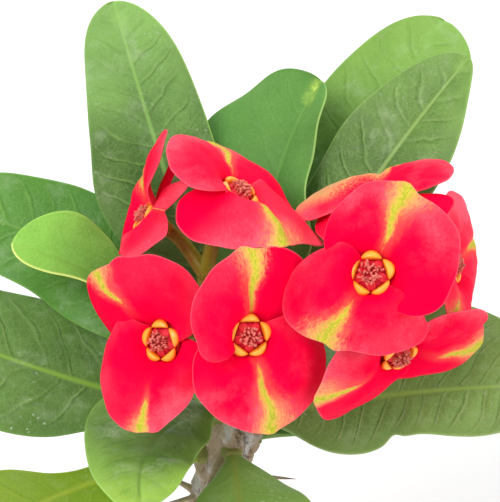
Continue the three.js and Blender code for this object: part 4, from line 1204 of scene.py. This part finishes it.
def build_cup():
    """The cup that holds the ring. Its layer says how high up it a place is, from 0 to 1."""
    foot, rim = -8.9, -1.2
    cup = lathe([(0, foot), (1.9, foot), (2.05, -8.2), (2.25, -7.2), (2.6, -6.0), (3.2, -4.8), (3.9, -3.6),
                 (4.35, -2.4), (4.5, -1.5), (4.35, rim), (0, rim)], 36)
    mark(cup, "cup", lambda spot: ((spot.z - foot) / (rim - foot), 0, 0))
    return cup


def build_gland(index):
    """A half-moon cushion with pointed ends, rounder outside than in, that leans out a little."""
    body = bmesh.new()
    bmesh.ops.create_icosphere(body, subdivisions=4, radius=1)
    mark(body, "gland", lambda spot: ((spot.z + 1) / 2, spot.y, spot.x))
    wide = GLAND["half_width"] * (1 + 0.05 * math.sin(index * 2.3))
    for corner in body.verts:
        x, y, z = corner.co
        deep = GLAND["depth"] * (1 + 0.08 * math.sin(index * 1.7)) if y > 0 else 0.62
        slim = (1.02 - x * x) ** 0.2
        plump = math.copysign(abs(z) ** 0.85, z)
        corner.co = (wide * x, deep * y * slim - 0.075 * (wide * x) ** 2 + 0.15, 1.0 * plump * slim + 0.95)
    turned(body, -14 * DEG, "X")
    bmesh.ops.translate(body, verts=body.verts, vec=(0, GLAND["circle"] - 0.1, -0.5))
    return turned(body, index / GLAND["count"] * FULL_TURN, "Z")


def build_lobe(index):
    """A soft fringed lobe that stands between two glands and leans over the middle."""
    turn = (index + 0.5) / GLAND["count"] * FULL_TURN

    def surface(u, w):
        a = 2 * u - 1
        reach = 1.0 * math.sin(math.pi * min(w * 0.85 + 0.12, 1)) ** 0.7
        y = 3.9 - 2.2 * w
        return Vector((reach * a, y, -0.7 + 2.6 * w - 1.0 * w * w + 0.12 * math.sin(9 * a + index)))
    body = thin_sheet(*LOBE_GRID, surface, lambda u, w: (0.22, 0.22), lambda u, w: {})
    return turned(body, turn, "Z")


def build_stamen(index, count, draw):
    """A filament that rises from the tuft and curls over, with a swollen end."""
    out = 2.5 * math.sqrt((index + 0.3) / count)
    azimuth = index * GOLDEN_ANGLE + 40 * (draw() - 0.5)
    root = towards(azimuth, 0) * out + Vector((0, 0, -0.2))
    rise = between(2.9, 1.8, out / 2.5) + 0.8 * draw()
    heading = azimuth + 220 * (draw() - 0.5)
    lean, aside = towards(heading, 0), towards(heading + 90, 0)
    swing = 0.5 * (draw() - 0.5)
    size, turns = 0.17 + 0.05 * draw(), 1.6 + 1.2 * draw()

    def path(t):
        angle = turns * math.pi * t
        curl = 0.55 * ease(0.35, 1, t)
        along = 0.35 * t + curl * math.sin(angle)
        return (root + Vector((0, 0, rise * min(t * 1.25, 1) - 0.5 * curl * (1 - math.cos(angle)))) + lean
                * along + aside * (swing * math.sin(2.4 * t)))
    return tube(path, 14, 7, lambda share, angle: size * (1 + 0.8 * math.exp(-((share - 0.92) / 0.08) ** 2))
                * math.sqrt(max(1 - ease(0.93, 1.0, share) ** 2, 0.02)))


def build_bloom(number, bloom):
    draw = seeded_draw(100 + number)
    bracts = bmesh.new()
    for i, bract in enumerate(bloom["bracts"]):
        add(bracts, build_bract(bloom, bract, number * 2.0 + i))
    add(bracts, onto_bloom(build_cup(), bloom), 1)
    finish_piece(bloom["name"] + "_petals", bracts, [BRACT, CUP_SKIN], "bract", bloom["name"] + "_bracts")
    glands = bmesh.new()
    for i in range(GLAND["count"]):
        add(glands, onto_bloom(build_gland(i), bloom))
    finish_piece(bloom["name"] + "_nectaries", glands, [GLAND_WAX], "gland", bloom["name"] + "_glands")
    tuft = bmesh.new()
    dome = lathe([(0, -1.15), (4.2, -1.15), (3.6, -0.4), (2.9, 0.1), (2.2, 0.7), (1.2, 1.1), (0, 1.25)], 24)
    add(tuft, onto_bloom(dome, bloom))
    for i in range(GLAND["count"]):
        add(tuft, onto_bloom(build_lobe(i), bloom), 1)
    stamens = 44
    for i in range(stamens):
        add(tuft, onto_bloom(build_stamen(i, stamens, draw), bloom), 2)
    finish_piece(bloom["name"] + "_stamens", tuft, [DOME, LOBE, FILAMENT], "tuft", bloom["name"] + "_tuft")


def build_stalk(stalk):
    whole = bmesh.new()
    root = root_outside(stalk["height"], stalk["azimuth"], stalk["pitch"])
    out = towards(stalk["azimuth"], stalk["pitch"])
    knee = Vector(stalk["knee"])

    def stretch(path, wide, narrow, count):
        """A stretch of stalk that swells a little at both of its joints."""
        def skin(share, angle):
            swell = 1 + 0.2 * math.exp(-(share / 0.09) ** 2) + 0.12 * math.exp(-((1 - share) / 0.08) ** 2)
            far_cap = math.sqrt(max(1 - ease(0.97, 1.0, share) ** 2, 0.05))
            near_cap = math.sqrt(max(1 - ease(0.03, 0, share) ** 2, 0.05))
            cap = far_cap * near_cap
            return between(wide, narrow, share) * swell * cap * (1 + 0.03 * math.cos(5 * angle))
        add(whole, tube(path, count, 24, skin))
    path = bend(root - out * 1.5, out, knee + Vector((0, 0, 0.8)), Vector((0, 0, 1)))
    stretch(path, STALK["root"], STALK["trunk"], 30)
    for branch in stalk["branches"]:
        fork = Vector(branch["knee"])
        heading = (fork - knee).normalized()
        stretch(bend(knee - heading * 1.2, heading, fork + heading * 1.2, heading), STALK["trunk"],
                STALK["branch"], 24)
        for index in branch["blooms"]:
            bloom = BLOOMS[index]
            facing = towards(*bloom["facing"])
            end = Vector(bloom["centre"]) - facing * (CUP_DEPTH * bloom["size"] - 0.6)
            start = (end - fork).normalized()
            stretch(bend(fork - start * 1.0, start, end, facing), STALK["branch"], STALK["pedicel"], 36)
    finish_piece(stalk["name"] + "_skin", whole, [GREEN_STALK], "stalk", stalk["name"])


# ------------------------------------------------------------------ pot and soil

def build_pot():
    height, rim, step = POT["height"], POT["rim"], POT["rim_step"]
    body_top = height - POT["rim_height"]
    pot = lathe([(0, 0), (POT["foot"] - 1.2, 0), (POT["foot"], 1.4), (rim - step, body_top),
                 (rim, body_top + 0.2), (rim, height), (rim - POT["wall"], height),
                 (POT["foot"] - POT["wall"], POT["floor"]), (0, POT["floor"])], 128)
    sharp = [e for e in pot.edges
             if len(e.link_faces) == 2 and e.calc_face_angle(0) > 0.5 and e.verts[0].co.xy.length > 30]
    bmesh.ops.bevel(pot, geom=sharp, affect="EDGES", offset=1.3, segments=4, profile=0.5, material=-1)
    drains = bmesh.new()
    for i in range(DRAINS["count"]):
        place = towards(i * 360 / DRAINS["count"], 0) * DRAINS["circle"]
        hole = bmesh.new()
        bmesh.ops.create_cone(hole, cap_ends=True, segments=28, radius1=DRAINS["radius"],
                              radius2=DRAINS["radius"], depth=30)
        bmesh.ops.translate(hole, verts=hole.verts, vec=place)
        add(drains, hole)
    whole = bmesh.new()
    add(whole, pot)
    piece = finish_piece("pot_clay", whole, [CLAY], "clay", "pot")
    bmesh.ops.scale(drains, vec=(MM, MM, MM), verts=drains.verts)
    cutter = new_object("drains", drains)
    cut = piece.modifiers.new("drain_holes", "BOOLEAN")
    cut.operation, cut.solver, cut.object = "DIFFERENCE", "EXACT", cutter
    bpy.context.view_layer.update()
    bored = bpy.data.meshes.new_from_object(piece.evaluated_get(bpy.context.evaluated_depsgraph_get()))
    piece.modifiers.clear()
    piece.data = bored
    bpy.data.objects.remove(cutter)
    for polygon in bored.polygons:
        polygon.use_smooth = True


def soil_height(x, y):
    """Lumpy soil, a little higher round the stem."""
    from_stem = math.hypot(x - STEM_FOOT[0], y - STEM_FOOT[1])
    spot = Vector((x, y, 0))
    lumps = noise.fractal(spot * 0.055, 0.9, 2.0, 5) * 1.5 + noise.noise(spot * 0.4) * 0.35
    return SOIL["top"] + 0.2 + lumps * 0.8 + 1.4 * math.exp(-((from_stem - 9) / 9) ** 2) - 0.6


def build_soil():
    top_share, side_share = 0.86, 0.85

    def inner(z):
        """The radius of the pot's inside at a height, less a hair."""
        share = (z - POT["floor"]) / (POT["height"] - POT["floor"])
        return between(POT["foot"] - POT["wall"], POT["rim"] - POT["wall"], share) - 0.15

    def place(turn, along):
        angle = turn * FULL_TURN
        if along < top_share:
            r = along / top_share * inner(SOIL["top"])
            x, y = r * math.cos(angle), r * math.sin(angle)
            return Vector((x, y, soil_height(x, y)))
        down = (along - top_share) / (1 - top_share)
        z = between(SOIL["top"] - 1, SOIL["bottom"], min(down / side_share, 1))
        r = inner(z) * (1 if down < side_share else max(1 - (down - side_share) / (1 - side_share), 0))
        return Vector((r * math.cos(angle), r * math.sin(angle), z))
    whole = bmesh.new()
    add(whole, wrapped(150, 90, place))
    pick = random.Random(5)
    for i in range(SOIL["crumbs"]):
        r, angle = 55 * math.sqrt(pick.random()), pick.uniform(0, FULL_TURN)
        x, y = r * math.cos(angle), r * math.sin(angle)
        if math.hypot(x - STEM_FOOT[0], y - STEM_FOOT[1]) < 10:
            continue
        grit = i % 9 == 0
        size = pick.uniform(0.5, 1.2) if grit else pick.uniform(0.6, 2.0)
        crumb = bmesh.new()
        bmesh.ops.create_icosphere(crumb, subdivisions=1, radius=size)
        for corner in crumb.verts:
            corner.co *= pick.uniform(0.72, 1.15)
        spin = pick.uniform(0, 6.28)
        axis = Vector((pick.random(), pick.random(), pick.random() + 0.1))
        bmesh.ops.scale(crumb, vec=(1, pick.uniform(0.6, 1), pick.uniform(0.5, 0.9)), verts=crumb.verts)
        turned(crumb, spin, axis)
        bmesh.ops.translate(crumb, verts=crumb.verts, vec=(x, y, soil_height(x, y) + size * 0.25))
        add(whole, crumb, 2 if grit else 1)
    finish_piece("soil_surface", whole, [EARTH, CRUMB, GRIT], "soil", "soil")


# ------------------------------------------------------------------ floor, light and camera

# What the camera looks at and from how far, and the pixels to a millimetre there.
VIEW = dict(aim=(7.75, -6.3, 285.3), distance=400, elevation=42, scale=4, frame_height=502)


def build_floor():
    ground = bmesh.new()
    bmesh.ops.create_grid(ground, x_segments=1, y_segments=1, size=4)
    floor = new_object("floor", ground)
    floor.data.materials.append(floor_material())


def lamp(name, place, size, power):
    """A round soft lamp that shines at the plant's crown."""
    data = bpy.data.lights.new(name, "AREA")
    data.shape, data.size, data.energy = "DISK", size, power
    made = bpy.data.objects.new(name, data)
    made.location = place
    made.rotation_mode = "QUATERNION"
    made.rotation_quaternion = (Vector((0, 0, 0.25)) - Vector(place)).to_track_quat("-Z", "Y")
    bpy.context.scene.collection.objects.link(made)


def light_and_camera():
    scene = bpy.context.scene
    scene.view_settings.view_transform = "Standard"
    world = bpy.data.worlds.new("soft_sky")
    scene.world = world
    world.use_nodes = True
    sky = world.node_tree.nodes["Background"].inputs
    sky["Color"].default_value = (1.0, 1.0, 1.0, 1.0)
    sky["Strength"].default_value = 0.8
    lamp("key", (-0.7, -0.7, 1.7), 0.9, 16)
    lamp("fill", (1.1, -0.5, 1.0), 1.0, 5)
    lamp("back", (0.2, 1.3, 1.1), 1.0, 5)
    elevation = VIEW["elevation"] * DEG
    look = Vector((0, math.cos(elevation), -math.sin(elevation)))
    camera_data = bpy.data.cameras.new("camera")
    camera_data.sensor_width = 36
    camera_data.lens = camera_data.sensor_width * VIEW["distance"] * VIEW["scale"] / VIEW["frame_height"]
    camera = bpy.data.objects.new("camera", camera_data)
    camera.location = (Vector(VIEW["aim"]) - look * VIEW["distance"]) * MM
    camera.rotation_mode = "QUATERNION"
    camera.rotation_quaternion = look.to_track_quat("-Z", "Y")
    scene.collection.objects.link(camera)
    scene.camera = camera


# ------------------------------------------------------------------ the whole plant

build_pot()
build_soil()
build_stem()
for leaf in LEAVES:
    whole = bmesh.new()
    add(whole, build_leaf(leaf))
    slot = "young_leaf" if leaf["tone"] == "young" else "leaf"
    finish_piece(leaf["name"] + "_blade", whole, [LEAF_MATERIALS[leaf["tone"]]], slot, leaf["name"])
for stalk in STALKS:
    build_stalk(stalk)
for number, bloom in enumerate(BLOOMS):
    build_bloom(number, bloom)
build_floor()
light_and_camera()
